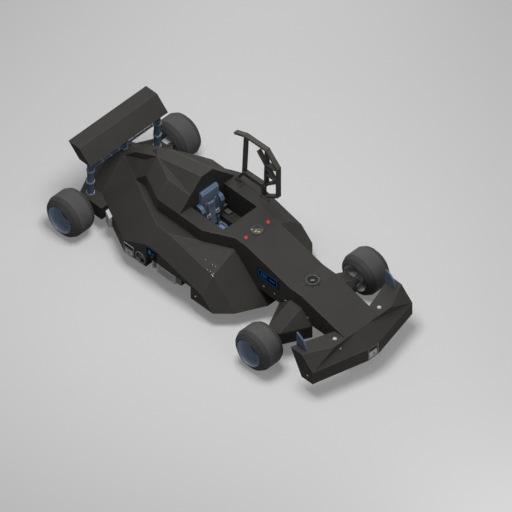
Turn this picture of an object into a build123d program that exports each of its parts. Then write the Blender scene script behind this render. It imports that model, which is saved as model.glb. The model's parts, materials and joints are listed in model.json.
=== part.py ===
from build123d import *
import math
import os

# Open wheel racing car with faceted bodywork, four equal slicks and an open canopy frame.
# Millimetres, +Z up, the nose towards -Y, +X the driver's left.
# The origin is on the ground, under the middle of the car's length and width.

# Levels above the ground
floor_level = 250.0
sill_level = 500.0
mid_level = 750.0
shelf_level = 1000.0
deck_level = 1250.0
cover_level = 1500.0
ridge_level = 1750.0

# Half widths
spine_half = 125.0
tub_half = 375.0
deck_half = 625.0
shoulder_half = 875.0
body_half = 1125.0
recess_depth = 250.0

# Stations along the car
wing_front_y = -2750.0
lip_reach = 250.0
nose_lip_y = wing_front_y - lip_reach
front_wing_step = 250.0
wing_mid_y = wing_front_y + front_wing_step
wing_rear_y = wing_mid_y + front_wing_step
nose_joint_y = -1750.0
nose_crest_y = -1500.0
keel_front_y = -1000.0
keel_top_y = -750.0
deck_front_y = -500.0
pod_corner_y = -250.0
cockpit_front_y = 0.0
waist_front_y = 250.0
bulkhead_y = 750.0
shoulder_rear_y = 1000.0
waist_rear_y = 1250.0
flank_rear_y = 1500.0
ridge_end_y = 1750.0
cover_end_y = 2000.0
spine_knee_y = 2250.0
pod_end_y = 2500.0
tail_flat_y = 2750.0
tail_y = 3000.0

# Wheels: the tyre's section rounds from the tread to the bead
wheelbase = 4250.0
front_axle_y = -1625.0
rear_axle_y = front_axle_y + wheelbase
tyre_radius = 375.0
tyre_width = 500.0
tread_width = 250.0
shoulder_radius = 340.0
shoulder_width = 400.0
bead_radius = 250.0
bead_height = 12.0
rim_fit = 0.5
rim_lip = 12.0
rim_waist_radius = 226.0
lip_depth = 90.0
web_depth = 230.0
web_thickness = 30.0
hub_radius = 55.0
hub_height = 30.0
axle_radius = 22.0
axle_fit = 0.5

# Round bodies are cut with this many sides, like the rest of the faceted car; pins and bores are true
wheel_sides = 36
ring_sides = 20
pin_sides = 16
post_sides = 8

# Steering and brakes
arm_reach = 185.0
king_pin_x = shoulder_half + arm_reach
wheel_offset = 140.0
wheel_x = king_pin_x + wheel_offset
upright_width = 120.0
upright_height = 180.0
upright_thickness = 50.0
king_pin_radius = 11.0
arm_thickness = 24.0
arm_width = 60.0
arm_eye_radius = 30.0
running_gap = 6.0
disc_radius = 150.0
disc_thickness = 20.0
disc_offset = 60.0
caliper_inner = 95.0
caliper_outer = 185.0
caliper_height = 90.0
caliper_width = 76.0
bracket_height = 50.0

# Cockpit
floor_thickness = 50.0
cockpit_wall = 25.0
well_half = 190.0
tunnel_roof = 855.0
pedal_y = -600.0

# Hatch frame
hinge_height = 30.0
hinge_inset = 40.0
frame_bar = 36.0
frame_depth = 86.0
hinge_pin_radius = 8.0
hinge_eye_radius = 20.0

# Rear wing and posts
wing_half = 875.0
wing_front_low_y = 2500.0
wing_chord = 250.0
post_radius = 55.0
collar_radius = 68.0
collar_height = 26.0
collar_pitch = 250.0
outer_post_x = 750.0
post_y = 2625.0
cross_tube_drop = 125.0
cross_tube_radius = 28.0


body_core = (0, 0, (floor_level + shelf_level) / 2)


def corner(x, y, z):
    return Vector(x, y, z)


def facet(a, b, c, core=body_core):
    # The plane through three corners of the bodywork, its normal away from the core of the piece
    normal = (b - a).cross(c - a).normalized()
    if normal.dot(a - Vector(*core)) < 0:
        normal = normal * -1
    return Plane(origin=a, z_dir=normal)


def finish(piece, name):
    piece.part.label = name
    export_step(piece.part, f"parts/{name}.step")


os.makedirs("parts", exist_ok=True)

# Corners of the left flank, shared by the pieces that meet there
tail_pod_width = 250.0
shelf_tail = corner(tub_half, cover_end_y, shelf_level)
shelf_rear = corner(shoulder_half, shoulder_rear_y, shelf_level)
shelf_front = corner(shoulder_half, bulkhead_y, shelf_level)
shelf_nose = corner(tub_half, pod_corner_y, shelf_level)
pod_corner = corner(shoulder_half, pod_corner_y, mid_level)
flank_tail = corner(tub_half + tail_pod_width, pod_end_y, sill_level)
flank_rear = corner(body_half, flank_rear_y, sill_level)
flank_crest = corner(body_half, shoulder_rear_y, mid_level)
flank_front = corner(body_half, pod_corner_y, sill_level)
keel_outer = corner(body_half, deck_front_y, floor_level)
keel_inner = corner(shoulder_half, keel_top_y, floor_level)
keel_tip = corner(tub_half, keel_front_y, floor_level)

rear_slope = facet(shelf_tail, shelf_rear, flank_rear)
upper_slope = facet(shelf_rear, shelf_front, flank_crest)
side_slope = facet(shelf_front, pod_corner, flank_front)
front_slope = facet(shelf_front, shelf_nose, pod_corner)
keel_side = facet(pod_corner, flank_front, keel_outer)
keel_front = facet(pod_corner, shelf_nose, keel_tip)

# Side pod, cut from one plan by the six planes of its facets
recess_front_y = 0.0
recess_rear_y = shoulder_rear_y
flank_mid = (floor_level + sill_level) / 2

with BuildPart() as sidepod_left:
    with BuildSketch(Plane.XY.offset(floor_level)):
        with BuildLine():
            Polyline(
                (tub_half, keel_front_y),
                (keel_inner.X, keel_inner.Y),
                (body_half, deck_front_y),
                (body_half, flank_rear_y),
                (flank_tail.X, pod_end_y),
                (tub_half, pod_end_y),
                close=True,
            )
        make_face()
    extrude(amount=shelf_level - floor_level)
    for slope in (rear_slope, upper_slope, side_slope, front_slope, keel_side, keel_front):
        split(bisect_by=slope, keep=Keep.BOTTOM)
    # The recess is open at the side and below
    with BuildSketch(Plane.YZ.offset(body_half - recess_depth)):
        with Locations(((recess_front_y + recess_rear_y) / 2, flank_mid)):
            Rectangle(recess_rear_y - recess_front_y, sill_level - floor_level)
    extrude(amount=recess_depth, mode=Mode.SUBTRACT)
    # Room for the cockpit's wall
    with BuildSketch(Plane.XY.offset(mid_level - cockpit_wall)):
        with Locations((tub_half + cockpit_wall / 2, bulkhead_y / 2)):
            Rectangle(cockpit_wall, bulkhead_y + 2 * cockpit_wall)
    extrude(amount=shelf_level - mid_level + cockpit_wall, mode=Mode.SUBTRACT)
finish(sidepod_left, "sidepod_left")

with BuildPart() as sidepod_right:
    mirror(sidepod_left.part, about=Plane.YZ)
finish(sidepod_right, "sidepod_right")

# Steering column through the dash
column_tilt = 12.0
column_level = 965.0
column_stand_off = 75.0
column_pivot = Vector(0, cockpit_front_y + column_stand_off, column_level)
column_plane = Plane(
    origin=column_pivot,
    x_dir=(1, 0, 0),
    z_dir=(0, math.cos(math.radians(column_tilt)), math.sin(math.radians(column_tilt))),
)
column_length = 90.0
column_radius = 26.0
with BuildPart() as steering_column:
    with BuildSketch(column_plane.offset(-running_gap)):
        Circle(column_radius)
    extrude(amount=-column_length)
finish(steering_column, "steering_column")

# Tub: the nose prism's rear half, the cockpit, its sills and the switch console on the far ledge
floor_top = floor_level + floor_thickness
console_reach = 117.0
console_inner_x = tub_half - console_reach
console_width = 92.0
console_length = 230.0
console_step = 110.0
console_front_y = bulkhead_y - console_length
console_step_y = bulkhead_y - console_step
console_low = 40.0
console_high = 115.0
with BuildPart() as tub:
    with BuildSketch(Plane.YZ):
        with BuildLine():
            Polyline(
                (nose_joint_y, sill_level),
                (nose_joint_y, shelf_level),
                (nose_crest_y, shelf_level),
                (deck_front_y, deck_level),
                (bulkhead_y, deck_level),
                (bulkhead_y, shelf_level),
                (bulkhead_y + cockpit_wall, shelf_level),
                (bulkhead_y + cockpit_wall, floor_top),
                (keel_top_y, floor_top),
                (keel_top_y, sill_level),
                close=True,
            )
        make_face()
    extrude(amount=tub_half, both=True)
    with BuildSketch(Plane.XY.offset(mid_level - cockpit_wall)):
        with Locations((0, bulkhead_y / 2)):
            Rectangle(2 * tub_half + 2 * cockpit_wall, bulkhead_y + 2 * cockpit_wall)
    extrude(amount=shelf_level - mid_level + cockpit_wall)
    with BuildSketch(Plane.XY.offset(shelf_level)):
        with BuildLine():
            Polyline(
                (tub_half, pod_corner_y),
                (deck_half, waist_front_y),
                (deck_half, bulkhead_y),
                (-deck_half, bulkhead_y),
                (-deck_half, waist_front_y),
                (-tub_half, pod_corner_y),
                close=True,
            )
        make_face()
    extrude(amount=deck_level - shelf_level)
    # The cockpit: wide above the ledges, a narrow well below them, and a tunnel for the legs
    with BuildSketch(Plane.XY.offset(mid_level)):
        with Locations((0, (cockpit_front_y + bulkhead_y) / 2)):
            Rectangle(2 * tub_half, bulkhead_y - cockpit_front_y)
    extrude(amount=deck_level - mid_level, mode=Mode.SUBTRACT)
    with BuildSketch(Plane.XY.offset(floor_top)):
        with Locations((0, (cockpit_front_y + bulkhead_y) / 2)):
            Rectangle(2 * well_half, bulkhead_y - cockpit_front_y)
    extrude(amount=mid_level - floor_top, mode=Mode.SUBTRACT)
    with BuildSketch(Plane.XZ.offset(-cockpit_front_y)):
        with Locations((0, (floor_top + tunnel_roof) / 2)):
            Rectangle(2 * well_half, tunnel_roof - floor_top)
    extrude(amount=cockpit_front_y - pedal_y, mode=Mode.SUBTRACT)
    add(steering_column.part, mode=Mode.SUBTRACT)
    with BuildSketch(Plane.YZ.offset(console_inner_x)):
        with BuildLine():
            Polyline(
                (console_front_y, mid_level),
                (console_front_y, mid_level + console_low),
                (console_step_y, mid_level + console_low),
                (console_step_y, mid_level + console_high),
                (bulkhead_y, mid_level + console_high),
                (bulkhead_y, mid_level),
                close=True,
            )
        make_face()
    extrude(amount=console_width)
finish(tub, "tub")

# Nose cone ahead of the tub
with BuildPart() as nose_cone:
    with BuildSketch(Plane.YZ):
        with BuildLine():
            Polyline(
                (nose_joint_y, sill_level),
                (nose_joint_y, shelf_level),
                (wing_front_y, mid_level),
                (wing_front_y, sill_level),
                close=True,
            )
        make_face()
    extrude(amount=tub_half, both=True)
finish(nose_cone, "nose_cone")

# Wedge on the lip of the front wing: three facets that meet at the nose
with BuildPart() as nose_wedge:
    with BuildSketch(Plane.XY.offset(sill_level)):
        with BuildLine():
            Polyline(
                (body_half, wing_front_y),
                (spine_half, nose_lip_y),
                (-spine_half, nose_lip_y),
                (-body_half, wing_front_y),
                close=True,
            )
        make_face()
    extrude(amount=mid_level - sill_level)
    wedge_core = (0, wing_front_y, sill_level)
    crest_right = corner(-spine_half, wing_front_y, mid_level)
    crest_left = corner(spine_half, wing_front_y, mid_level)
    lip_middle = corner(0, nose_lip_y, sill_level)
    split(bisect_by=facet(crest_right, crest_left, lip_middle, wedge_core), keep=Keep.BOTTOM)
    for side in (-1, 1):
        crest = corner(side * spine_half, wing_front_y, mid_level)
        lip = corner(side * spine_half, nose_lip_y, sill_level)
        tip = corner(side * body_half, wing_front_y, sill_level)
        split(bisect_by=facet(crest, lip, tip, wedge_core), keep=Keep.BOTTOM)

# Front wing: a wedge each side of the nose, and the lip across its front
headlamp_border = 12.0
headlamp_half = spine_half - headlamp_border
headlamp_height = sill_level - floor_level - 2 * headlamp_border
headlamp_depth = 70.0
lip_shoulder = corner(body_half, wing_front_y, sill_level)
wing_shoulder = corner(deck_half, wing_front_y, mid_level)
wing_core = (deck_half, wing_front_y, sill_level)
with BuildPart() as front_wing:
    with BuildSketch(Plane.YZ.offset(tub_half)):
        with BuildLine():
            Polyline(
                (wing_mid_y, floor_level),
                (wing_rear_y, mid_level),
                (wing_front_y, mid_level),
                (wing_front_y, floor_level),
                close=True,
            )
        make_face()
    extrude(amount=body_half - tub_half)
    split(
        bisect_by=facet(
            corner(body_half, wing_mid_y, mid_level), wing_shoulder, lip_shoulder, core=wing_core
        ),
        keep=Keep.BOTTOM,
    )
    split(
        bisect_by=facet(
            corner(body_half, wing_rear_y, mid_level),
            corner(tub_half, wing_mid_y, mid_level),
            corner(body_half, wing_mid_y, floor_level),
            core=wing_core,
        ),
        keep=Keep.BOTTOM,
    )
    mirror(about=Plane.YZ)
    with BuildSketch(Plane.XY.offset(floor_level)):
        with BuildLine():
            Polyline(
                (body_half, wing_front_y),
                (spine_half, nose_lip_y),
                (-spine_half, nose_lip_y),
                (-body_half, wing_front_y),
                close=True,
            )
        make_face()
    extrude(amount=sill_level - floor_level)
    add(nose_wedge.part)
    # Pocket for the lamp in the middle of the lip
    with BuildSketch(Plane.XZ.offset(-nose_lip_y)):
        with Locations((0, flank_mid)):
            Rectangle(2 * headlamp_half, headlamp_height)
    extrude(amount=-headlamp_depth, mode=Mode.SUBTRACT)
finish(front_wing, "front_wing")

# Fins on the front wing
fin_inset = 125.0
fin_x = body_half - fin_inset
fin_thickness = 30.0
fin_height = 260.0
fin_length = 225.0
fin_sweep_radius = 325.0
with BuildPart() as nose_fins:
    for side in (-1, 1):
        with BuildSketch(Plane.YZ.offset(side * fin_x - fin_thickness / 2)):
            with BuildLine():
                Polyline(
                    (wing_mid_y + fin_length, mid_level + fin_height),
                    (wing_mid_y + fin_length, mid_level),
                    (wing_mid_y, mid_level),
                )
                RadiusArc(
                    (wing_mid_y, mid_level),
                    (wing_mid_y + fin_length, mid_level + fin_height),
                    fin_sweep_radius,
                )
            make_face()
        extrude(amount=fin_thickness)
finish(nose_fins, "nose_fins")

# Fairings that carry the front suspension arms
fairing_tip_half = 125.0
fairing_root_half = 375.0
fairing_core = (tub_half, front_axle_y, floor_level)
with BuildPart() as front_fairings:
    with BuildSketch(Plane.XY.offset(floor_level)):
        with BuildLine():
            Polyline(
                (tub_half, front_axle_y - fairing_root_half),
                (shoulder_half, front_axle_y - fairing_tip_half),
                (shoulder_half, front_axle_y + fairing_tip_half),
                (tub_half, front_axle_y + fairing_root_half),
                close=True,
            )
        make_face()
    extrude(amount=mid_level - floor_level)
    split(
        bisect_by=facet(
            corner(tub_half, nose_joint_y, mid_level),
            corner(tub_half, nose_crest_y, mid_level),
            corner(shoulder_half, front_axle_y, sill_level),
            core=fairing_core,
        ),
        keep=Keep.BOTTOM,
    )
    for end in (-1, 1):
        split(
            bisect_by=facet(
                corner(tub_half, front_axle_y + end * fairing_tip_half, mid_level),
                corner(tub_half, front_axle_y + end * fairing_root_half, sill_level),
                corner(shoulder_half, front_axle_y + end * fairing_tip_half, sill_level),
                core=fairing_core,
            ),
            keep=Keep.BOTTOM,
        )
    mirror(about=Plane.YZ)
finish(front_fairings, "front_fairings")

# Floor plank under the tub, with the keel's slope at its front
with BuildPart() as floor_plank:
    with BuildSketch(Plane.YZ):
        with BuildLine():
            Polyline(
                (keel_front_y, floor_level),
                (keel_top_y, sill_level),
                (keel_top_y, floor_top),
                (pod_end_y, floor_top),
                (pod_end_y, floor_level),
                close=True,
            )
        make_face()
    extrude(amount=tub_half, both=True)
finish(floor_plank, "floor_plank")

# Ridge of the engine cover, from the bulkhead back
with BuildPart() as ridge:
    with BuildSketch(Plane.XY.offset(cover_level)):
        with Locations((0, (bulkhead_y + ridge_end_y) / 2)):
            Rectangle(2 * tub_half, ridge_end_y - bulkhead_y)
    extrude(amount=ridge_level - cover_level)
    crest_left = corner(spine_half, bulkhead_y, ridge_level)
    tail_left = corner(spine_half, ridge_end_y, cover_level)
    crest_right = corner(-spine_half, bulkhead_y, ridge_level)
    ridge_core = (0, bulkhead_y, cover_level)
    split(bisect_by=facet(crest_left, tail_left, crest_right, ridge_core), keep=Keep.BOTTOM)
    for side in (-1, 1):
        crest = corner(side * spine_half, bulkhead_y, ridge_level)
        tail = corner(side * spine_half, ridge_end_y, cover_level)
        foot = corner(side * tub_half, bulkhead_y, cover_level)
        split(bisect_by=facet(crest, tail, foot, ridge_core), keep=Keep.BOTTOM)

# Engine cover: a lower body with a flat step, and the ridge above it
bay_half = 300.0
bay_cover = 50.0
bay_gap = 40.0
bay_length = 810.0
bay_roof = deck_level - bay_cover
bay_front_y = bulkhead_y + bay_gap
bay_rear_y = bay_front_y + bay_length
with BuildPart() as engine_cover:
    with BuildSketch(Plane.XY.offset(shelf_level)):
        with BuildLine():
            Polyline(
                (deck_half, bulkhead_y),
                (deck_half, waist_rear_y),
                (tub_half, ridge_end_y),
                (tub_half, cover_end_y),
                (-tub_half, cover_end_y),
                (-tub_half, ridge_end_y),
                (-deck_half, waist_rear_y),
                (-deck_half, bulkhead_y),
                close=True,
            )
        make_face()
    extrude(amount=cover_level - shelf_level)
    for side in (-1, 1):
        step = corner(side * tub_half, waist_rear_y, cover_level)
        tail = corner(side * spine_half, ridge_end_y, cover_level)
        waist = corner(side * deck_half, waist_rear_y, deck_level)
        split(
            bisect_by=facet(step, corner(side * tub_half, bulkhead_y, cover_level), waist),
            keep=Keep.BOTTOM,
        )
        split(bisect_by=facet(tail, step, waist), keep=Keep.BOTTOM)
        split(
            bisect_by=facet(
                tail,
                corner(side * tub_half, ridge_end_y, deck_level),
                corner(side * tub_half, cover_end_y, shelf_level),
            ),
            keep=Keep.BOTTOM,
        )
    add(ridge.part)
    # Spine that runs on over the gearbox
    with BuildSketch(Plane.YZ):
        with BuildLine():
            Polyline(
                (ridge_end_y, shelf_level),
                (ridge_end_y, cover_level),
                (spine_knee_y, deck_level),
                (pod_end_y, shelf_level),
                close=True,
            )
        make_face()
    extrude(amount=spine_half, both=True)
    with BuildSketch(Plane.XY.offset(shelf_level)):
        with Locations((0, (bay_front_y + bay_rear_y) / 2)):
            Rectangle(2 * bay_half, bay_rear_y - bay_front_y)
    extrude(amount=bay_roof - shelf_level, mode=Mode.SUBTRACT)
finish(engine_cover, "engine_cover")

# Engine block in the bay between the side pods, one plain block with its sump
engine_length = 620.0
engine_width = 520.0
engine_height = 640.0
engine_gap = 35.0
engine_front_y = bulkhead_y + cockpit_wall + engine_gap
engine_chamfer = 90.0
with BuildPart() as engine_block:
    with BuildSketch(Plane.XY.offset(floor_top)):
        with Locations((0, engine_front_y + engine_length / 2)):
            Rectangle(engine_width, engine_length)
    extrude(amount=engine_height)
    chamfer(engine_block.edges().group_by(Axis.Z)[-1].filter_by(Axis.Y), engine_chamfer)
finish(engine_block, "engine_block")

# Gearbox cover: the tub's width behind the bay, then a low prism over the rear deck
tail_cut = facet(
    corner(spine_half, tail_flat_y, shelf_level),
    corner(deck_half, tail_flat_y, sill_level),
    corner(tub_half, tail_y, sill_level),
)
with BuildPart() as gearbox_low:
    with BuildSketch(Plane.XZ.offset(-pod_end_y)):
        with BuildLine():
            Polyline(
                (deck_half, sill_level),
                (spine_half, shelf_level),
                (-spine_half, shelf_level),
                (-deck_half, sill_level),
                close=True,
            )
        make_face()
    extrude(amount=-(tail_y - pod_end_y))
    split(bisect_by=tail_cut, keep=Keep.BOTTOM)
    split(
        bisect_by=facet(
            corner(-spine_half, tail_flat_y, shelf_level),
            corner(-deck_half, tail_flat_y, sill_level),
            corner(-tub_half, tail_y, sill_level),
        ),
        keep=Keep.BOTTOM,
    )
    split(
        bisect_by=facet(
            corner(spine_half, tail_flat_y, shelf_level),
            corner(-spine_half, tail_flat_y, shelf_level),
            corner(0, tail_y, mid_level),
        ),
        keep=Keep.BOTTOM,
    )

with BuildPart() as gearbox_cover:
    with BuildSketch(Plane.XY.offset(floor_top)):
        with Locations((0, (cover_end_y + pod_end_y) / 2)):
            Rectangle(2 * tub_half, pod_end_y - cover_end_y)
    extrude(amount=shelf_level - floor_top)
    for side in (-1, 1):
        split(
            bisect_by=facet(
                corner(side * tub_half, cover_end_y, shelf_level),
                corner(side * shoulder_half, shoulder_rear_y, shelf_level),
                corner(side * body_half, flank_rear_y, sill_level),
            ),
            keep=Keep.BOTTOM,
        )
    add(gearbox_low.part)
finish(gearbox_cover, "gearbox_cover")

# Slope between the engine cover's wall and the gearbox cover, one each side of the spine
with BuildPart() as tail_cowls:
    with BuildSketch(Plane.XY.offset(shelf_level)):
        with Locations(((spine_half + tub_half) / 2, (cover_end_y + pod_end_y) / 2)):
            Rectangle(tub_half - spine_half, pod_end_y - cover_end_y)
    extrude(amount=deck_level - shelf_level)
    split(bisect_by=rear_slope, keep=Keep.BOTTOM)
    mirror(about=Plane.YZ)
finish(tail_cowls, "tail_cowls")

# Rear deck behind the side pods
deck_front_corner_y = 2250.0
wall_ratio = (deck_front_corner_y - flank_rear_y) / (pod_end_y - flank_rear_y)
tail_bolts_across = 160.0
tail_bolts_up = 100.0
tail_bolt_radius = 6.0
tail_bolt_depth = 40.0
deck_inner_x = body_half + wall_ratio * (flank_tail.X - body_half)
with BuildPart() as rear_deck:
    with BuildSketch(Plane.XY.offset(floor_level)):
        with BuildLine():
            Polyline(
                (0, pod_end_y),
                (flank_tail.X, pod_end_y),
                (deck_inner_x, deck_front_corner_y),
                (shoulder_half, deck_front_corner_y),
                (shoulder_half, tail_flat_y),
                (tub_half, tail_y),
                (0, tail_y),
                close=True,
            )
        make_face()
    extrude(amount=sill_level - floor_level)
    mirror(about=Plane.YZ)
    # Four blind holes in the tail for the crash box or a tow bracket
    with BuildSketch(Plane.XZ.offset(-tail_y)):
        with Locations((0, (floor_level + sill_level) / 2)):
            with GridLocations(tail_bolts_across, tail_bolts_up, 2, 2):
                Circle(tail_bolt_radius)
    extrude(amount=tail_bolt_depth, mode=Mode.SUBTRACT)
finish(rear_deck, "rear_deck")

# Rear wing: one raked plate across the posts
with BuildPart() as rear_wing:
    with BuildSketch(Plane.YZ):
        with BuildLine():
            Polyline(
                (wing_front_low_y, deck_level),
                (wing_front_low_y + wing_chord, cover_level),
                (wing_front_low_y + 2 * wing_chord, cover_level),
                (wing_front_low_y + wing_chord, deck_level),
                close=True,
            )
        make_face()
    extrude(amount=wing_half, both=True)
finish(rear_wing, "rear_wing")

# Posts of the rear wing, their collars and the tube across them: place across, level of the foot
post_feet = ((-outer_post_x, sill_level), (0, shelf_level), (outer_post_x, sill_level))
with BuildPart() as wing_posts:
    for post_x, foot in post_feet:
        with BuildSketch(Plane.XY.offset(foot)):
            with Locations((post_x, post_y)):
                RegularPolygon(post_radius, post_sides, major_radius=False, rotation=180 / post_sides)
        extrude(amount=deck_level - foot)
        collars = int((deck_level - foot) // collar_pitch) + 1
        for turn in range(collars):
            base = min(foot + turn * collar_pitch, deck_level - collar_height)
            with BuildSketch(Plane.XY.offset(base)):
                with Locations((post_x, post_y)):
                    RegularPolygon(collar_radius, post_sides, major_radius=False, rotation=180 / post_sides)
            extrude(amount=collar_height)
    with BuildSketch(Plane.YZ):
        with Locations((post_y, deck_level - cross_tube_drop)):
            RegularPolygon(cross_tube_radius, post_sides)
    extrude(amount=outer_post_x, both=True)
finish(wing_posts, "wing_posts")

# Lamps, rings and fittings on the bodywork
with BuildPart() as headlamp:
    with BuildSketch(Plane.XZ.offset(-nose_lip_y)):
        with Locations((0, flank_mid)):
            Rectangle(2 * headlamp_half, headlamp_height)
    extrude(amount=-headlamp_depth)
finish(headlamp, "headlamp")

marker_x = (tub_half + deck_half) / 2
marker_y = (wing_front_y + wing_mid_y) / 2
marker_radius = 36.0
marker_height = 22.0
with BuildPart() as marker_lamps:
    with BuildSketch(Plane.XY.offset(mid_level)):
        with Locations((marker_x, marker_y), (-marker_x, marker_y)):
            RegularPolygon(marker_radius, pin_sides)
    extrude(amount=marker_height)
    chamfer(marker_lamps.edges().group_by(Axis.Z)[-1], marker_height / 3)
finish(marker_lamps, "marker_lamps")

red_lamp_x = (spine_half + tub_half) / 2
red_lamp_setback = 125.0
red_lamp_y = deck_front_y + red_lamp_setback
red_lamp_radius = 30.0
red_lamp_height = 32.0
with BuildPart() as red_lamps:
    with BuildSketch(Plane.XY.offset(deck_level)):
        with Locations((red_lamp_x, red_lamp_y), (-red_lamp_x, red_lamp_y)):
            RegularPolygon(red_lamp_radius, pin_sides)
    extrude(amount=red_lamp_height)
    chamfer(red_lamps.edges().group_by(Axis.Z)[-1], red_lamp_height / 3)
finish(red_lamps, "red_lamps")

dial_radius = 104.0
dial_height = 18.0
with BuildPart() as deck_dial:
    with BuildSketch(Plane.XY.offset(deck_level)):
        with Locations((0, red_lamp_y)):
            RegularPolygon(dial_radius, ring_sides)
    extrude(amount=dial_height)
finish(deck_dial, "deck_dial")

port_radius = 122.0
port_wall = 34.0
port_height = 22.0
with BuildPart() as nose_port:
    with BuildSketch(Plane.XY.offset(shelf_level)):
        with Locations((0, (nose_joint_y + nose_crest_y) / 2)):
            RegularPolygon(port_radius, ring_sides)
            RegularPolygon(port_radius - port_wall, ring_sides, mode=Mode.SUBTRACT)
    extrude(amount=port_height)
finish(nose_port, "nose_port")

# Flat panels on the tub's sides, and small ones on the side pods: plane, ends, levels
panel_border = 10.0
panel_proud = 12.0
panel_lead = 250.0
panel_places = (
    (tub_half, keel_front_y - panel_lead, keel_top_y, mid_level, shelf_level),
    (body_half, bulkhead_y, shoulder_rear_y, sill_level, mid_level),
)
with BuildPart() as side_panels:
    for panel_x, panel_front, panel_rear, panel_low, panel_high in panel_places:
        with BuildSketch(Plane.YZ.offset(panel_x)):
            with Locations(((panel_front + panel_rear) / 2, (panel_low + panel_high) / 2)):
                Rectangle(
                    panel_rear - panel_front - 2 * panel_border,
                    panel_high - panel_low - 2 * panel_border,
                )
        extrude(amount=panel_proud)
    mirror(about=Plane.YZ)
finish(side_panels, "side_panels")

# Cells behind the recess: a duct ring, then a lamp in its frame
cell_border = 12.0
cell_proud = 20.0
duct_radius = 115.0
duct_wall = 24.0
with BuildPart() as duct_rings:
    for side in (-1, 1):
        with BuildSketch(Plane.YZ.offset(side * body_half)):
            with Locations(((shoulder_rear_y + waist_rear_y) / 2, flank_mid)):
                RegularPolygon(duct_radius, ring_sides)
                RegularPolygon(duct_radius - duct_wall, ring_sides, mode=Mode.SUBTRACT)
        extrude(amount=side * cell_proud)
finish(duct_rings, "duct_rings")

with BuildPart() as flank_lamps:
    for side in (-1, 1):
        with BuildSketch(Plane.YZ.offset(side * body_half)):
            with Locations(((waist_rear_y + flank_rear_y) / 2, flank_mid)):
                Rectangle(
                    flank_rear_y - waist_rear_y - 2 * cell_border,
                    sill_level - floor_level - 2 * cell_border,
                )
        extrude(amount=side * cell_proud)
finish(flank_lamps, "flank_lamps")

# Coolers hung in the recesses, their fins standing in a sunk core
cooler_setback = 350.0
cooler_length = 400.0
cooler_front_y = recess_front_y + cooler_setback
cooler_rear_y = cooler_front_y + cooler_length
cooler_height = 195.0
cooler_proud = 10.0
cooler_gap = 25.0
cooler_inner_x = body_half - recess_depth + cooler_gap
cooler_rim = 14.0
core_depth = 24.0
fin_pitch = 24.0
fin_wall = 6.0
cooler_mid_y = (cooler_front_y + cooler_rear_y) / 2
cooler_mid_z = sill_level - cooler_height / 2
core_length = cooler_rear_y - cooler_front_y - 2 * cooler_rim
core_height = cooler_height - 2 * cooler_rim
fin_count = int(core_length // fin_pitch)
# Boxes beside them: front, rear, lower level, upper level
service_boxes = (
    (220.0, 340.0, 355.0, 480.0),
    (760.0, 845.0, 360.0, 480.0),
)
with BuildPart() as coolers:
    with BuildSketch(Plane.YZ.offset(cooler_inner_x)):
        with Locations((cooler_mid_y, cooler_mid_z)):
            Rectangle(cooler_rear_y - cooler_front_y, cooler_height)
    extrude(amount=body_half + cooler_proud - cooler_inner_x)
    with BuildSketch(Plane.YZ.offset(body_half + cooler_proud)):
        with Locations((cooler_mid_y, cooler_mid_z)):
            Rectangle(core_length, core_height)
    extrude(amount=-core_depth, mode=Mode.SUBTRACT)
    with BuildSketch(Plane.YZ.offset(body_half + cooler_proud - core_depth)):
        with Locations((cooler_mid_y, cooler_mid_z)):
            with GridLocations(core_length / fin_count, 0, fin_count, 1):
                Rectangle(fin_wall, core_height)
    extrude(amount=core_depth - fin_wall)
    # Pump and service boxes on the recess's inner wall
    for box_front, box_rear, box_low, box_high in service_boxes:
        with BuildSketch(Plane.YZ.offset(body_half - recess_depth)):
            with Locations((recess_front_y + (box_front + box_rear) / 2, (box_low + box_high) / 2)):
                Rectangle(box_rear - box_front, box_high - box_low)
        extrude(amount=recess_depth - running_gap)
    mirror(about=Plane.YZ)
finish(coolers, "coolers")

# Catch tanks on the flank's slanted wall ahead of the rear wheels, and a bottle in each recess
tank_lead = 235.0
tank_length = 170.0
tank_front_y = deck_front_corner_y - tank_lead
tank_rear_y = tank_front_y + tank_length
tank_depth = 70.0
tank_height = 230.0
bottle_radius = 28.0
bottle_length = 215.0
bottle_lead = 120.0
bottle_y = recess_rear_y - bottle_lead
flank_slope = (flank_tail.X - body_half) / (pod_end_y - flank_rear_y)
tank_front_x = body_half + (tank_front_y - flank_rear_y) * flank_slope
tank_rear_x = body_half + (tank_rear_y - flank_rear_y) * flank_slope
with BuildPart() as catch_tanks:
    with BuildSketch(Plane.XY.offset(floor_level)):
        with BuildLine():
            Polyline(
                (tank_front_x, tank_front_y),
                (tank_rear_x, tank_rear_y),
                (tank_rear_x + tank_depth, tank_rear_y),
                (tank_front_x + tank_depth, tank_front_y),
                close=True,
            )
        make_face()
    extrude(amount=tank_height)
    with BuildSketch(Plane.XY.offset(sill_level)):
        with Locations((body_half - 2 * bottle_radius, bottle_y)):
            RegularPolygon(bottle_radius, pin_sides)
    extrude(amount=-bottle_length)
    mirror(about=Plane.YZ)
finish(catch_tanks, "catch_tanks")

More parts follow.
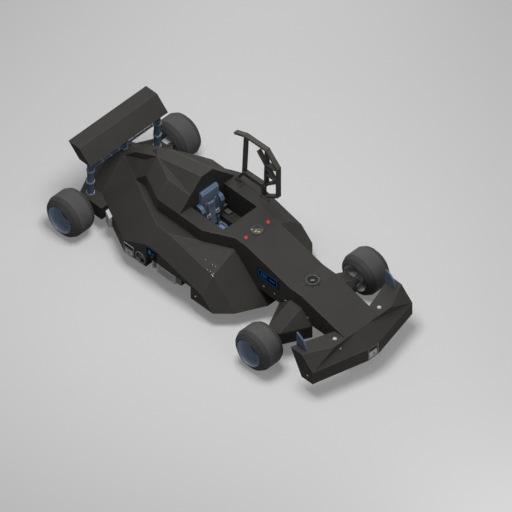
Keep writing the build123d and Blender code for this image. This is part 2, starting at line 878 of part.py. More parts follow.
# Seat: a shell that stands on the well's floor, wide shoulders above the ledges, raised thigh sides
seat_gap = 15.0
seat_half = well_half - seat_gap
shoulder_wing_half = 250.0
seat_length = 320.0
seat_base_depth = 138.0
seat_top_depth = 65.0
seat_rear_gap = 5.0
seat_top_drop = 65.0
pan_drop = 130.0
seat_front_y = bulkhead_y - seat_length
seat_base_y = bulkhead_y - seat_base_depth
seat_top_y = bulkhead_y - seat_top_depth
seat_rear_y = bulkhead_y - seat_rear_gap
seat_top_level = deck_level - seat_top_drop
pan_level = mid_level - pan_drop
pan_shell = 30.0
pedestal_half = 110.0
pedestal_inset = 60.0
thigh_rise = 35.0
thigh_width = 34.0
wing_reach = 90.0
with BuildPart() as seat_shell:
    with BuildSketch(Plane.YZ):
        with BuildLine():
            Polyline(
                (seat_front_y, pan_level - pan_shell),
                (seat_front_y, pan_level),
                (seat_base_y, pan_level),
                (seat_top_y, seat_top_level),
                (seat_rear_y, seat_top_level),
                (seat_rear_y, pan_level - pan_shell),
                close=True,
            )
        make_face()
    extrude(amount=seat_half, both=True)
    with BuildSketch(Plane.XY.offset(floor_top)):
        with Locations((0, (seat_front_y + seat_rear_y) / 2)):
            Rectangle(2 * pedestal_half, seat_rear_y - seat_front_y - 2 * pedestal_inset)
    extrude(amount=pan_level - pan_shell - floor_top)
    for side in (-1, 1):
        with BuildSketch(Plane.YZ.offset(side * (seat_half - thigh_width))):
            with BuildLine():
                Polyline(
                    (seat_front_y, pan_level),
                    (seat_front_y + thigh_rise, pan_level + thigh_rise),
                    (seat_rear_y, pan_level + thigh_rise),
                    (seat_rear_y, pan_level),
                    close=True,
                )
            make_face()
        extrude(amount=side * thigh_width)
        with BuildSketch(Plane.YZ.offset(side * seat_half)):
            with BuildLine():
                Polyline(
                    (seat_rear_y, mid_level + running_gap),
                    (seat_top_y - wing_reach / 2, mid_level + running_gap),
                    (seat_top_y - wing_reach, seat_top_level - wing_reach),
                    (seat_top_y - wing_reach / 2, seat_top_level - wing_reach / 4),
                    (seat_top_y, seat_top_level),
                    (seat_rear_y, seat_top_level),
                    close=True,
                )
            make_face()
        extrude(amount=side * (shoulder_wing_half - seat_half))
finish(seat_shell, "seat_shell")

# Headrest with a stepped front, seated on the shell's top
headrest_half = 185.0
headrest_rise = 175.0
headrest_step = 15.0
headrest_undercut = 10.0
headrest_top = deck_level + headrest_rise
headrest_ledge = 35.0
with BuildPart() as headrest:
    with BuildSketch(Plane.YZ):
        with BuildLine():
            Polyline(
                (bulkhead_y, seat_top_level),
                (bulkhead_y, headrest_top),
                (seat_top_y + headrest_step, headrest_top),
                (seat_top_y, headrest_top - headrest_ledge),
                (seat_top_y - headrest_step, headrest_top - headrest_ledge),
                (seat_top_y - headrest_undercut, seat_top_level),
                close=True,
            )
        make_face()
    extrude(amount=headrest_half, both=True)
finish(headrest, "headrest")

# Pads on the pan and on the back, clear of the shell by a small gap
pad_gap = 1.0
pan_pad_height = 34.0
back_pad_depth = 26.0
back_lean = (seat_top_y - seat_base_y) / (seat_top_level - pan_level)
back_pad_rise = 20.0
back_pad_drop = 12.0
back_low = pan_level + pan_pad_height + back_pad_rise
back_high = seat_top_level - back_pad_drop
back_low_y = seat_base_y + (back_low - pan_level) * back_lean
back_high_y = seat_base_y + (back_high - pan_level) * back_lean
with BuildPart() as seat_pads:
    with BuildSketch(Plane.XY.offset(pan_level + pad_gap)):
        with Locations((0, (seat_front_y + seat_base_y) / 2)):
            Rectangle(2 * (seat_half - thigh_width - 2 * pad_gap), seat_base_y - seat_front_y - 2 * pad_gap)
    extrude(amount=pan_pad_height)
    with BuildSketch(Plane.YZ):
        with BuildLine():
            Polyline(
                (back_low_y - pad_gap, back_low),
                (back_high_y - pad_gap, back_high),
                (back_high_y - back_pad_depth, back_high),
                (back_low_y - back_pad_depth, back_low),
                close=True,
            )
        make_face()
    extrude(amount=seat_half - thigh_width - 2 * pad_gap, both=True)
finish(seat_pads, "seat_pads")

# Harness: two shoulder straps down the back pad to a lap belt across the pan
strap_width = 65.0
strap_thickness = 5.0
strap_x = 95.0
strap_gap = 2.0
belt_height = 50.0
buckle_width = 70.0
buckle_depth = 14.0
belt_reach = 30.0
belt_y = back_low_y - back_pad_depth - belt_reach
belt_level = pan_level + pan_pad_height + pad_gap + strap_gap + belt_height / 2
strap_face_y = back_high_y - back_pad_depth - strap_gap
with BuildPart() as harness:
    for strap_side in (-1, 1):
        with BuildSketch(Plane.YZ.offset(strap_side * strap_x - strap_width / 2)):
            with BuildLine():
                Polyline(
                    (seat_top_y - headrest_undercut, seat_top_level - strap_thickness),
                    (seat_top_y - headrest_undercut, seat_top_level),
                    (strap_face_y - strap_thickness, seat_top_level),
                    (belt_y - strap_thickness, belt_level),
                    (belt_y, belt_level),
                    (strap_face_y, seat_top_level - strap_thickness),
                    close=True,
                )
            make_face()
        extrude(amount=strap_width)
    with BuildSketch(Plane.XZ.offset(-belt_y)):
        with Locations((0, belt_level)):
            Rectangle(2 * (seat_half - thigh_width), belt_height)
    extrude(amount=strap_thickness)
    with BuildSketch(Plane.XZ.offset(-belt_y + strap_thickness)):
        with Locations((0, belt_level)):
            Rectangle(buckle_width, belt_height)
    extrude(amount=buckle_depth)
finish(harness, "harness")

# Steering wheel
wheel_grip_radius = 125.0
grip_width = 26.0
grip_thickness = 22.0
spoke_height = 40.0
boss_radius = 34.0
boss_length = 30.0
with BuildPart() as steering_wheel:
    with BuildSketch(column_plane):
        Circle(boss_radius)
    extrude(amount=boss_length)
    with BuildSketch(column_plane.offset(boss_length - grip_thickness)):
        RegularPolygon(wheel_grip_radius, ring_sides)
        RegularPolygon(wheel_grip_radius - grip_width, ring_sides, mode=Mode.SUBTRACT)
        Rectangle(2 * wheel_grip_radius - grip_width, spoke_height)
    extrude(amount=grip_thickness)
finish(steering_wheel, "steering_wheel")

# Hatch frame, drawn standing open beside the cockpit, in the plane of its hinge
frame_x = deck_half
hinge_x = frame_x - hinge_inset
hinge_z = deck_level + hinge_height
thin_bar = 20.0
mitre = 0.8
# Corners of the frame: distance behind the bulkhead, height over the deck
frame_corners = {
    "top rear": (-32.0, 995.0),
    "top middle": (-260.0, 1085.0),
    "top front": (-730.0, 1095.0),
    "brow": (-980.0, 845.0),
    "chin": (-980.0, 220.0),
    "post middle": (-220.0, 260.0),
    "post front": (-710.0, 280.0),
    "chin foot": (-690.0, 29.0),
    "rear foot": (-100.0, 29.0),
    "middle foot": (-655.0, 20.0),
    "rear rail": (-230.0, 250.0),
    "front rail": (-656.0, 265.0),
    "rail low rear": (-205.0, 205.0),
    "rail low front": (-655.0, 220.0),
    "cross high rear": (-710.0, 785.0),
    "cross high front": (-930.0, 785.0),
    "cross low rear": (-710.0, 560.0),
    "cross low front": (-930.0, 560.0),
    "brace top": (-544.0, 950.0),
    "brace foot": (-927.0, 504.0),
    "stay rear": (-680.0, 285.0),
    "stay front": (-960.0, 525.0),
}
# Members between them: first corner, second corner, width
frame_members = (
    ("top rear", "top middle", frame_bar),
    ("top middle", "top front", frame_bar),
    ("top front", "brow", frame_bar),
    ("brow", "chin", frame_bar),
    ("chin", "chin foot", frame_bar),
    ("top middle", "post middle", frame_bar),
    ("top front", "post front", frame_bar),
    ("rear foot", "rear rail", frame_bar),
    ("middle foot", "front rail", frame_bar),
    ("rear rail", "front rail", frame_bar),
    ("rail low rear", "rail low front", thin_bar),
    ("cross high rear", "cross high front", thin_bar),
    ("cross low rear", "cross low front", thin_bar),
    ("brace top", "brace foot", thin_bar),
    ("stay rear", "stay front", frame_bar),
)
# Zones along the hinge where the feet stand, behind the bulkhead: front end, rear end
hinge_zones = ((-800.0, -632.0), (-153.0, -72.0))
hinge_plate = 10.0
plate_width = 44.0
with BuildPart() as hatch_frame:
    with BuildSketch(Plane.YZ.offset(frame_x - frame_depth / 2)):
        for first, second, width in frame_members:
            start = Vector(*frame_corners[first]) + Vector(bulkhead_y, deck_level)
            end = Vector(*frame_corners[second]) + Vector(bulkhead_y, deck_level)
            run = end - start
            middle = (start + end) / 2
            with Locations(Location((middle.X, middle.Y), math.degrees(math.atan2(run.Y, run.X)))):
                Rectangle(run.length + width * mitre, width)
    extrude(amount=frame_depth)
    for zone_front, zone_rear in hinge_zones:
        with BuildSketch(Plane.XZ.offset(-(bulkhead_y + zone_front + running_gap))):
            with Locations((hinge_x, hinge_z)):
                RegularPolygon(hinge_eye_radius, pin_sides)
        extrude(amount=-(zone_rear - zone_front - 2 * running_gap))
        with BuildSketch(Plane.XZ.offset(-(bulkhead_y + zone_front))):
            with Locations((hinge_x, hinge_z)):
                Circle(hinge_pin_radius + axle_fit)
        extrude(amount=-(zone_rear - zone_front), mode=Mode.SUBTRACT)
finish(hatch_frame, "hatch_frame")

# Hinges on the deck: a plate at each end of a zone and the pin between them
with BuildPart() as hatch_hinges:
    for zone_front, zone_rear in hinge_zones:
        for plate_y in (zone_front - hinge_plate, zone_rear):
            with BuildSketch(Plane.XZ.offset(-(bulkhead_y + plate_y))):
                with BuildLine():
                    Polyline(
                        (hinge_x - plate_width / 2, deck_level),
                        (hinge_x - hinge_eye_radius / 2, hinge_z + hinge_eye_radius),
                        (hinge_x + hinge_eye_radius / 2, hinge_z + hinge_eye_radius),
                        (hinge_x + plate_width / 2, deck_level),
                        close=True,
                    )
                make_face()
            extrude(amount=-hinge_plate)
        with BuildSketch(Plane.XZ.offset(-(bulkhead_y + zone_front - hinge_plate / 2))):
            with Locations((hinge_x, hinge_z)):
                Circle(hinge_pin_radius)
        extrude(amount=-(zone_rear - zone_front + hinge_plate))
finish(hatch_hinges, "hatch_hinges")

# Wheels: prisms across the axle, chamfered from the tread to the beads and into the rim's bowls
outer_face = tyre_width / 2
bead_outer = bead_radius + bead_height
# The first cut runs from the tread over the shoulder to the face, the second from there to the bead
shoulder_slope = (tyre_radius - shoulder_radius) / (shoulder_width / 2 - tread_width / 2)
face_radius = tyre_radius - (outer_face - tread_width / 2) * shoulder_slope
# Cuts at each face of the tyre: how far inwards on the face, how far along the flank
tyre_cuts = (
    (tyre_radius - face_radius, outer_face - tread_width / 2),
    (face_radius - bead_outer, math.hypot(outer_face - shoulder_width / 2, shoulder_radius - face_radius)),
)
web_outer = outer_face - web_depth
web_inner = web_outer - web_thickness
bowl_cut = bead_radius - rim_lip - rim_waist_radius
# Bowls of the rim: side of the wheel, depth to the web
bowls = (
    (1, web_depth),
    (-1, outer_face + web_inner),
)
hub_length = web_outer + hub_height - (web_inner - disc_offset)
stub_end = web_outer + hub_height / 2
wheels = (
    ("front_left", 1, front_axle_y),
    ("front_right", -1, front_axle_y),
    ("rear_left", 1, rear_axle_y),
    ("rear_right", -1, rear_axle_y),
)
for wheel_name, side, axle_y in wheels:
    middle = Plane(origin=(side * wheel_x, axle_y, tyre_radius), x_dir=(0, 1, 0), z_dir=(side, 0, 0))
    with BuildPart() as tyre:
        with BuildSketch(middle.offset(-outer_face)):
            RegularPolygon(tyre_radius, wheel_sides, major_radius=False, rotation=180 / wheel_sides)
        extrude(amount=tyre_width)
        for inwards, along in tyre_cuts:
            for end in (0, -1):
                face = tyre.faces().filter_by(Axis.X).sort_by(Axis.X)[end]
                chamfer(face.edges(), length=inwards, length2=along, reference=face)
        with BuildSketch(middle.offset(-outer_face)):
            RegularPolygon(bead_radius, wheel_sides, major_radius=False, rotation=180 / wheel_sides)
        extrude(amount=tyre_width, mode=Mode.SUBTRACT)
    finish(tyre, f"tyre_{wheel_name}")
    with BuildPart() as rim:
        with BuildSketch(middle.offset(-outer_face)):
            RegularPolygon(bead_radius - rim_fit, wheel_sides, major_radius=False, rotation=180 / wheel_sides)
        extrude(amount=tyre_width)
        for end, depth in bowls:
            with BuildSketch(middle.offset(end * outer_face)):
                RegularPolygon(rim_waist_radius, wheel_sides, major_radius=False, rotation=180 / wheel_sides)
            extrude(amount=-end * depth, mode=Mode.SUBTRACT)
        for end in (0, -1):
            face = rim.faces().filter_by(Axis.X).sort_by(Axis.X)[end]
            chamfer(face.inner_wires()[0].edges(), length=bowl_cut, length2=lip_depth, reference=face)
        # Hub through the web, the brake disc on its inner end, and the bore for the axle
        with BuildSketch(middle.offset(web_inner - disc_offset)):
            RegularPolygon(hub_radius, pin_sides)
        extrude(amount=hub_length)
        with BuildSketch(middle.offset(web_inner - disc_offset)):
            RegularPolygon(disc_radius, ring_sides)
        extrude(amount=disc_thickness)
        with BuildSketch(middle.offset(-outer_face)):
            Circle(axle_radius + axle_fit)
        extrude(amount=tyre_width, mode=Mode.SUBTRACT)
    finish(rim, f"rim_{wheel_name}")

# Brake caliper seen from above: it reaches around the disc behind the stub axle, towards the nose
disc_x = wheel_x + web_inner - disc_offset + disc_thickness / 2
caliper_mid = (caliper_inner + caliper_outer) / 2
bracket_inner = 50.0
bracket_overlap = 15.0
bracket_outer = caliper_inner + bracket_overlap
disc_slot = disc_thickness + 2 * running_gap


def brake_caliper(side, axle_y):
    # Block, bracket and the slot that the disc runs in
    block = Pos(side * disc_x, axle_y - caliper_mid, tyre_radius) * Box(
        caliper_width, caliper_outer - caliper_inner, caliper_height
    )
    slot_end = disc_radius + running_gap
    slot = Pos(side * disc_x, axle_y - slot_end / 2, tyre_radius) * Box(disc_slot, slot_end, caliper_height)
    bracket_x = (king_pin_x + disc_x - disc_slot / 2) / 2
    bracket = Pos(side * bracket_x, axle_y - (bracket_inner + bracket_outer) / 2, tyre_radius) * Box(
        disc_x - disc_slot / 2 - king_pin_x, bracket_outer - bracket_inner, bracket_height
    )
    return block - slot + bracket


# Front knuckles: upright, the king pin through the arms, the stub axle and the caliper
pin_reach = upright_height / 2 + running_gap + arm_thickness
for side, knuckle_name in ((1, "left"), (-1, "right")):
    caliper = brake_caliper(side, front_axle_y)
    with BuildPart() as knuckle:
        with Locations((side * king_pin_x, front_axle_y, tyre_radius)):
            Box(upright_thickness, upright_width, upright_height)
        with BuildSketch(Plane.XY.offset(tyre_radius - pin_reach)):
            with Locations((side * king_pin_x, front_axle_y)):
                Circle(king_pin_radius)
        extrude(amount=2 * pin_reach)
        with BuildSketch(Plane.YZ.offset(side * king_pin_x)):
            with Locations((front_axle_y, tyre_radius)):
                Circle(axle_radius)
        extrude(amount=side * (wheel_x + stub_end - king_pin_x))
        add(caliper)
    finish(knuckle, f"knuckle_{knuckle_name}")

# Front arms from the fairing tips to the king pins
with BuildPart() as front_arms:
    for end in (-1, 1):
        arm_z = tyre_radius + end * (upright_height / 2 + running_gap + arm_thickness / 2)
        with BuildSketch(Plane.XY.offset(arm_z - arm_thickness / 2)):
            with BuildLine():
                Polyline(
                    (shoulder_half, front_axle_y - arm_width),
                    (king_pin_x, front_axle_y - arm_eye_radius),
                    (king_pin_x, front_axle_y + arm_eye_radius),
                    (shoulder_half, front_axle_y + arm_width),
                    close=True,
                )
            make_face()
            with Locations((king_pin_x, front_axle_y)):
                RegularPolygon(arm_eye_radius, pin_sides)
                Circle(king_pin_radius + axle_fit, mode=Mode.SUBTRACT)
        extrude(amount=arm_thickness)
    mirror(about=Plane.YZ)
finish(front_arms, "front_arms")

# Rear carriers: arms from the rear deck, the upright, its axle and the caliper
rear_calipers = [brake_caliper(side, rear_axle_y) for side in (-1, 1)]
with BuildPart() as rear_carriers:
    for side in (-1, 1):
        with Locations((side * king_pin_x, rear_axle_y, tyre_radius)):
            Box(upright_thickness, upright_width, upright_height)
        for end in (-1, 1):
            arm_z = tyre_radius + end * (upright_height / 2 - arm_thickness / 2)
            with Locations((side * (shoulder_half + king_pin_x) / 2, rear_axle_y, arm_z)):
                Box(king_pin_x - shoulder_half, upright_width, arm_thickness)
        with BuildSketch(Plane.YZ.offset(side * shoulder_half)):
            with Locations((rear_axle_y, tyre_radius)):
                Circle(axle_radius)
        extrude(amount=side * (wheel_x + stub_end - shoulder_half))
    add(rear_calipers)
finish(rear_carriers, "rear_carriers")
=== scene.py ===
import bpy
import bmesh
import json
import math
import numpy as np
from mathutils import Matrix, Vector


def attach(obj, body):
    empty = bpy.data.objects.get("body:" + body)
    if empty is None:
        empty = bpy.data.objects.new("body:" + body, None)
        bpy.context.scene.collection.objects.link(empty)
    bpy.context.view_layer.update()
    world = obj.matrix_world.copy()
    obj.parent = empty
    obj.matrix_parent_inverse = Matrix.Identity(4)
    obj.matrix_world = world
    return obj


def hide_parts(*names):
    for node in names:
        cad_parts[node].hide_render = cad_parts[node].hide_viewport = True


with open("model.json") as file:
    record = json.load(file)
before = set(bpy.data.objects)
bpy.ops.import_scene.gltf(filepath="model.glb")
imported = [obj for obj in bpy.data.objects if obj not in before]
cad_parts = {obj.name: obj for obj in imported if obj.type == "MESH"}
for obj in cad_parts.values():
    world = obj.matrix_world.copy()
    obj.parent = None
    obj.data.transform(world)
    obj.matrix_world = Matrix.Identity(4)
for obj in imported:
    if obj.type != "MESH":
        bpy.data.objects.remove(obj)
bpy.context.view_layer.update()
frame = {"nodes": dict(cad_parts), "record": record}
nodes = frame["nodes"]
bodyOf = {node: body for body, names in frame["record"]["behaviour"]["bodies"].items() for node in names}
print("frame loaded:", len(nodes), "nodes")

# The picture: a flat view with no perspective, from the car's right front corner
view = {
    "azimuth": -45.0,
    "elevation": 45.0,
    "aim": (0.083, -0.268, 0.535),
    "span": 8.153,             # metres across the square picture
    "distance": 14.0,
}


def placeCamera():
    azimuth, elevation = math.radians(view["azimuth"]), math.radians(view["elevation"])
    away = Vector((math.sin(azimuth) * math.cos(elevation), -math.cos(azimuth) * math.cos(elevation),
                   math.sin(elevation)))
    camera = bpy.data.cameras.new("camera")
    camera.type = "ORTHO"
    camera.ortho_scale = view["span"]
    camera.clip_end = 400
    holder = bpy.data.objects.new("camera", camera)
    holder.location = Vector(view["aim"]) + away * view["distance"]
    holder.rotation_euler = (-away).to_track_quat("-Z", "Y").to_euler()
    bpy.context.collection.objects.link(holder)
    bpy.context.scene.camera = holder


placeCamera()

# Light: one broad lamp above, weaker ones before and behind, and a pale room
studio = {
    "lamps": [                 # name, place, watts, size
        ("overhead", (-0.6, 0.2, 11.0), 620.0, 5.0),
        ("frontFill", (-1.0, -8.0, 3.0), 60.0, 4.0),
        ("backFill", (7.0, 6.0, 4.0), 60.0, 4.0),
    ],
    "lampsLookAt": (0, 0, 0.4),
    "room": 0.12,              # the room as it lights the car
    "pale": 0.90,              # the room as gloss and glass see it
    "backdrop": 0.55,          # the room as the camera sees it, in a view from below
    "floorTone": 0.74,         # as the camera sees it
    "floorGlow": 0.16,         # so that the far floor stays pale, for the camera alone
    "floorBounce": 0.30,       # as it lights the object from below
    "floorHalf": 80.0,
}


def tone(r, g, b):
    # Screen values from 0 to 255 as the linear colour that a shader takes
    return tuple(((c / 255 + 0.055) / 1.055) ** 2.4 if c > 10 else c / 255 / 12.92 for c in (r, g, b))


def feed(tree, node, values):
    # A number, a colour or another node's output into each named socket
    for name, value in values.items():
        socket = node.inputs[name]
        if isinstance(value, bpy.types.NodeSocket):
            tree.links.new(value, socket)
        else:
            socket.default_value = (*value, 1) if isinstance(value, tuple) else value


def newFinish(name, colour, rough, metal=0.0):
    finish = bpy.data.materials.new(name)
    finish.use_nodes = True
    tree = finish.node_tree
    shader = tree.nodes["Principled BSDF"]
    feed(tree, shader, {"Base Color": colour, "Roughness": rough, "Metallic": metal})
    return finish, tree, shader


# Small steps that the finishes share
def stretched(tree, place, stretch):
    # Coordinates stretched along the axes
    mapping = tree.nodes.new("ShaderNodeMapping")
    mapping.inputs["Scale"].default_value = stretch
    tree.links.new(place, mapping.inputs["Vector"])
    return mapping.outputs["Vector"]


def objectPlace(tree, stretch=(1, 1, 1)):
    return stretched(tree, tree.nodes.new("ShaderNodeTexCoord").outputs["Object"], stretch)


def uvPlace(tree, stretch=(1, 1, 1)):
    # The piece's own UV map, in metres
    place = tree.nodes.new("ShaderNodeUVMap")
    place.uv_map = "along"
    return stretched(tree, place.outputs["UV"], stretch)


def noiseAt(tree, place, size, detail=4.0, rough=0.55):
    # Noise whose blobs are about size metres across
    noise = tree.nodes.new("ShaderNodeTexNoise")
    feed(tree, noise, {"Scale": 1 / size, "Detail": detail, "Roughness": rough, "Vector": place})
    return noise.outputs["Fac"]


def wavesAt(tree, place, size, direction):
    # Even waves, size metres from crest to crest
    wave = tree.nodes.new("ShaderNodeTexWave")
    wave.bands_direction = direction
    wave.wave_profile = "SIN"
    # The node's own waves are 2 pi / 20 apart
    feed(tree, wave, {"Scale": 1 / size / 3.1831, "Distortion": 0.0, "Vector": place})
    return wave.outputs["Fac"]


def spread(tree, value, low, high, fromLow=0.3, fromHigh=0.7):
    remap = tree.nodes.new("ShaderNodeMapRange")
    feed(tree, remap, {"Value": value, "From Min": fromLow, "From Max": fromHigh, "To Min": low,
                       "To Max": high})
    return remap.outputs["Result"]


def together(tree, first, second, how="MULTIPLY"):
    step = tree.nodes.new("ShaderNodeMath")
    step.operation = how
    feed(tree, step, {0: first, 1: second})
    return step.outputs[0]


def heightAbove(tree):
    # The height of each point over the ground
    place = tree.nodes.new("ShaderNodeTexCoord")
    split = tree.nodes.new("ShaderNodeSeparateXYZ")
    tree.links.new(place.outputs["Object"], split.inputs["Vector"])
    return split.outputs["Z"]


def blendColour(tree, factor, first, second):
    mix = tree.nodes.new("ShaderNodeMix")
    mix.data_type = "RGBA"
    for socket, colour in (("A", first), ("B", second)):
        found = [s for s in mix.inputs if s.name == socket and s.type == "RGBA"][0]
        if isinstance(colour, tuple):
            found.default_value = (*colour, 1)
        else:
            tree.links.new(colour, found)
    tree.links.new(factor, mix.inputs["Factor"])
    return [s for s in mix.outputs if s.type == "RGBA"][0]


def shade(colour, factor):
    return tuple(min(1.0, c * factor) for c in colour)


def toned(tree, factor, colour, dark, light):
    # Between a darker and a lighter tone of one colour
    return blendColour(tree, factor, shade(colour, dark), shade(colour, light))


def addBump(tree, shader, height, depth, strength=1.0):
    bump = tree.nodes.new("ShaderNodeBump")
    feed(tree, bump, {"Strength": strength, "Distance": depth, "Height": height})
    feed(tree, shader, {"Normal": bump.outputs["Normal"]})


def hangLamps():
    for name, place, watts, size in studio["lamps"]:
        lamp = bpy.data.lights.new(name, "AREA")
        lamp.energy = watts
        lamp.shape = "DISK"
        lamp.size = size
        holder = bpy.data.objects.new(name, lamp)
        holder.location = place
        away = Vector(studio["lampsLookAt"]) - Vector(place)
        holder.rotation_euler = away.to_track_quat("-Z", "Y").to_euler()
        bpy.context.collection.objects.link(holder)


def makeRoom():
    # A dim room that lights, a pale one in gloss and glass, and a backdrop for the camera
    world = bpy.data.worlds.new("paleRoom")
    bpy.context.scene.world = world
    world.use_nodes = True
    tree = world.node_tree
    background = tree.nodes["Background"]
    rays = tree.nodes.new("ShaderNodeLightPath")
    glossy = together(tree, rays.outputs["Is Glossy Ray"], rays.outputs["Is Transmission Ray"], "MAXIMUM")
    strength = spread(tree, glossy, studio["room"], studio["pale"], 0, 1)
    seen = spread(tree, rays.outputs["Is Camera Ray"], strength, studio["backdrop"], 0, 1)
    feed(tree, background, {"Strength": seen, "Color": (1, 1, 1)})


def layFloor():
    half = studio["floorHalf"]
    floorMesh = bpy.data.meshes.new("floor")
    floorMesh.from_pydata([(-half, -half, 0), (half, -half, 0), (half, half, 0), (-half, half, 0)], [],
                          [(0, 1, 2, 3)])
    floor = bpy.data.objects.new("floor", floorMesh)
    bpy.context.collection.objects.link(floor)
    pale, bounce = (studio["floorTone"],) * 3, (studio["floorBounce"],) * 3
    paint, tree, shader = newFinish("paleFloor", pale, 0.9)
    rays = tree.nodes.new("ShaderNodeLightPath").outputs["Is Camera Ray"]
    feed(tree, shader, {"Base Color": blendColour(tree, rays, bounce, pale), "Specular IOR Level": 0.1,
                        "Emission Color": (1, 1, 1),
                        "Emission Strength": together(tree, rays, studio["floorGlow"])})
    # Seen from below the floor is clear, so that the underside shows
    side = tree.nodes.new("ShaderNodeNewGeometry")
    feed(tree, shader, {"Alpha": together(tree, 1.0, side.outputs["Backfacing"], "SUBTRACT")})
    floorMesh.materials.append(paint)


hangLamps()
makeRoom()
layFloor()
bpy.context.scene.view_settings.view_transform = "Standard"
print("camera and light placed")


# Finishes; their patterns are in metres
dust = tone(122, 116, 106)
rubberBloom = tone(138, 130, 120)


def paintFinish(name, colour, rough=0.5, metal=0.0, grime=0.2):
    # Satin paint: slow patches of tone, fine orange peel, scuffs along the car, dust near the ground
    finish, tree, shader = newFinish(name, colour, rough, metal)
    place = objectPlace(tree)
    patches = spread(tree, noiseAt(tree, place, 0.9, 3), 0, 1)
    base = toned(tree, patches, colour, 0.90, 1.10)
    low = spread(tree, heightAbove(tree), grime, 0.0, 0.22, 0.62)
    specks = spread(tree, noiseAt(tree, place, 0.03, 5, 0.7), 0.1, 1.0, 0.35, 0.75)
    base = blendColour(tree, together(tree, low, specks), base, dust)
    scuffs = noiseAt(tree, objectPlace(tree, (1, 0.25, 1)), 0.05, 6, 0.7)
    feed(tree, shader, {"Base Color": base, "Roughness": spread(tree, scuffs, rough - 0.05, rough + 0.10),
                        "Specular IOR Level": 0.22})
    addBump(tree, shader, noiseAt(tree, place, 0.010, 2), 0.0005, 0.25)
    return finish


def metalFinish(name, colour, rough=0.35, metal=0.85):
    # Metal with a fine machined grain and a slight stain
    finish, tree, shader = newFinish(name, colour, rough, metal)
    grain = noiseAt(tree, objectPlace(tree), 0.006, 3, 0.6)
    stain = spread(tree, noiseAt(tree, objectPlace(tree), 0.12, 4), 0, 1)
    feed(tree, shader, {"Base Color": toned(tree, stain, colour, 0.86, 1.1),
                        "Roughness": spread(tree, grain, rough - 0.06, rough + 0.12)})
    addBump(tree, shader, grain, 0.0002, 0.3)
    return finish


def plasticFinish(name, colour, rough=0.5, grain=0.0015, gloss=0.5):
    # Moulded plastic with a fine even grain
    finish, tree, shader = newFinish(name, colour, rough)
    place = objectPlace(tree)
    wipe = spread(tree, noiseAt(tree, place, 0.08, 3), 0, 1)
    feed(tree, shader, {"Base Color": toned(tree, wipe, colour, 0.88, 1.12), "Specular IOR Level": gloss,
                        "Roughness": spread(tree, wipe, rough - 0.05, rough + 0.08, 0, 1)})
    addBump(tree, shader, noiseAt(tree, place, grain, 2), 0.0002, 0.35)
    return finish


def rubberFinish(name, colour, tread):
    # Slick rubber: streaks that run round the tyre, picked up grit, a bloom of dust
    finish, tree, shader = newFinish(name, colour, 0.8)
    around = uvPlace(tree, (0.35, 6.0, 1))
    streaks = spread(tree, noiseAt(tree, around, 0.05, 6, 0.65), 0, 1)
    base = toned(tree, streaks, colour, 0.84, 1.14)
    bloom = spread(tree, noiseAt(tree, objectPlace(tree), 0.20, 4), 0.0, 0.16 if tread else 0.08)
    base = blendColour(tree, bloom, base, rubberBloom)
    feed(tree, shader, {"Base Color": base, "Roughness": spread(tree, streaks, 0.66, 0.86, 0, 1),
                        "Specular IOR Level": 0.35})
    grit = noiseAt(tree, uvPlace(tree), 0.004 if tread else 0.0015, 4, 0.7)
    addBump(tree, shader, grit, 0.0012 if tread else 0.0004, 0.5)
    return finish


def lensFinish(name, colour, rib, glow=0.0, coat=0.7):
    # A moulded lens: clear coat over ribbed colour
    finish, tree, shader = newFinish(name, colour, 0.18)
    ribs = wavesAt(tree, objectPlace(tree), rib, "Z")
    feed(tree, shader, {"Base Color": toned(tree, ribs, colour, 0.86, 1.05), "Coat Weight": coat,
                        "Coat Roughness": 0.06})
    addBump(tree, shader, ribs, 0.0015, 0.6)
    if glow:
        feed(tree, shader, {"Emission Color": colour, "Emission Strength": glow})
    return finish


def clothFinish(name, colour, weave, rough=0.9):
    # Woven cloth: warp and weft waves, thread to thread colour, soft sheen
    finish, tree, shader = newFinish(name, colour, rough)
    place = objectPlace(tree)
    warp = wavesAt(tree, place, weave, "X")
    weft = wavesAt(tree, objectPlace(tree, (1, 0.6, 0.8)), weave, "DIAGONAL")
    threads = together(tree, warp, weft)
    mottle = spread(tree, noiseAt(tree, place, 0.03, 4), 0, 1)
    base = toned(tree, mottle, colour, 0.86, 1.1)
    base = blendColour(tree, spread(tree, threads, 0.0, 0.35, 0, 1), base, shade(colour, 0.55))
    feed(tree, shader, {"Base Color": base, "Sheen Weight": 0.3, "Sheen Roughness": 0.5})
    addBump(tree, shader, threads, 0.0006, 0.5)
    return finish


def webbingFinish(name, colour):
    # Belt webbing: ribs along the belt and a fine step across them
    finish, tree, shader = newFinish(name, colour, 0.7)
    ribs = wavesAt(tree, uvPlace(tree), 0.006, "X")
    steps = wavesAt(tree, uvPlace(tree), 0.0025, "Y")
    weave = together(tree, ribs, steps)
    feed(tree, shader, {"Base Color": toned(tree, spread(tree, weave, 0, 1, 0, 1), colour, 0.7, 1.25)})
    addBump(tree, shader, weave, 0.0007, 0.7)
    return finish


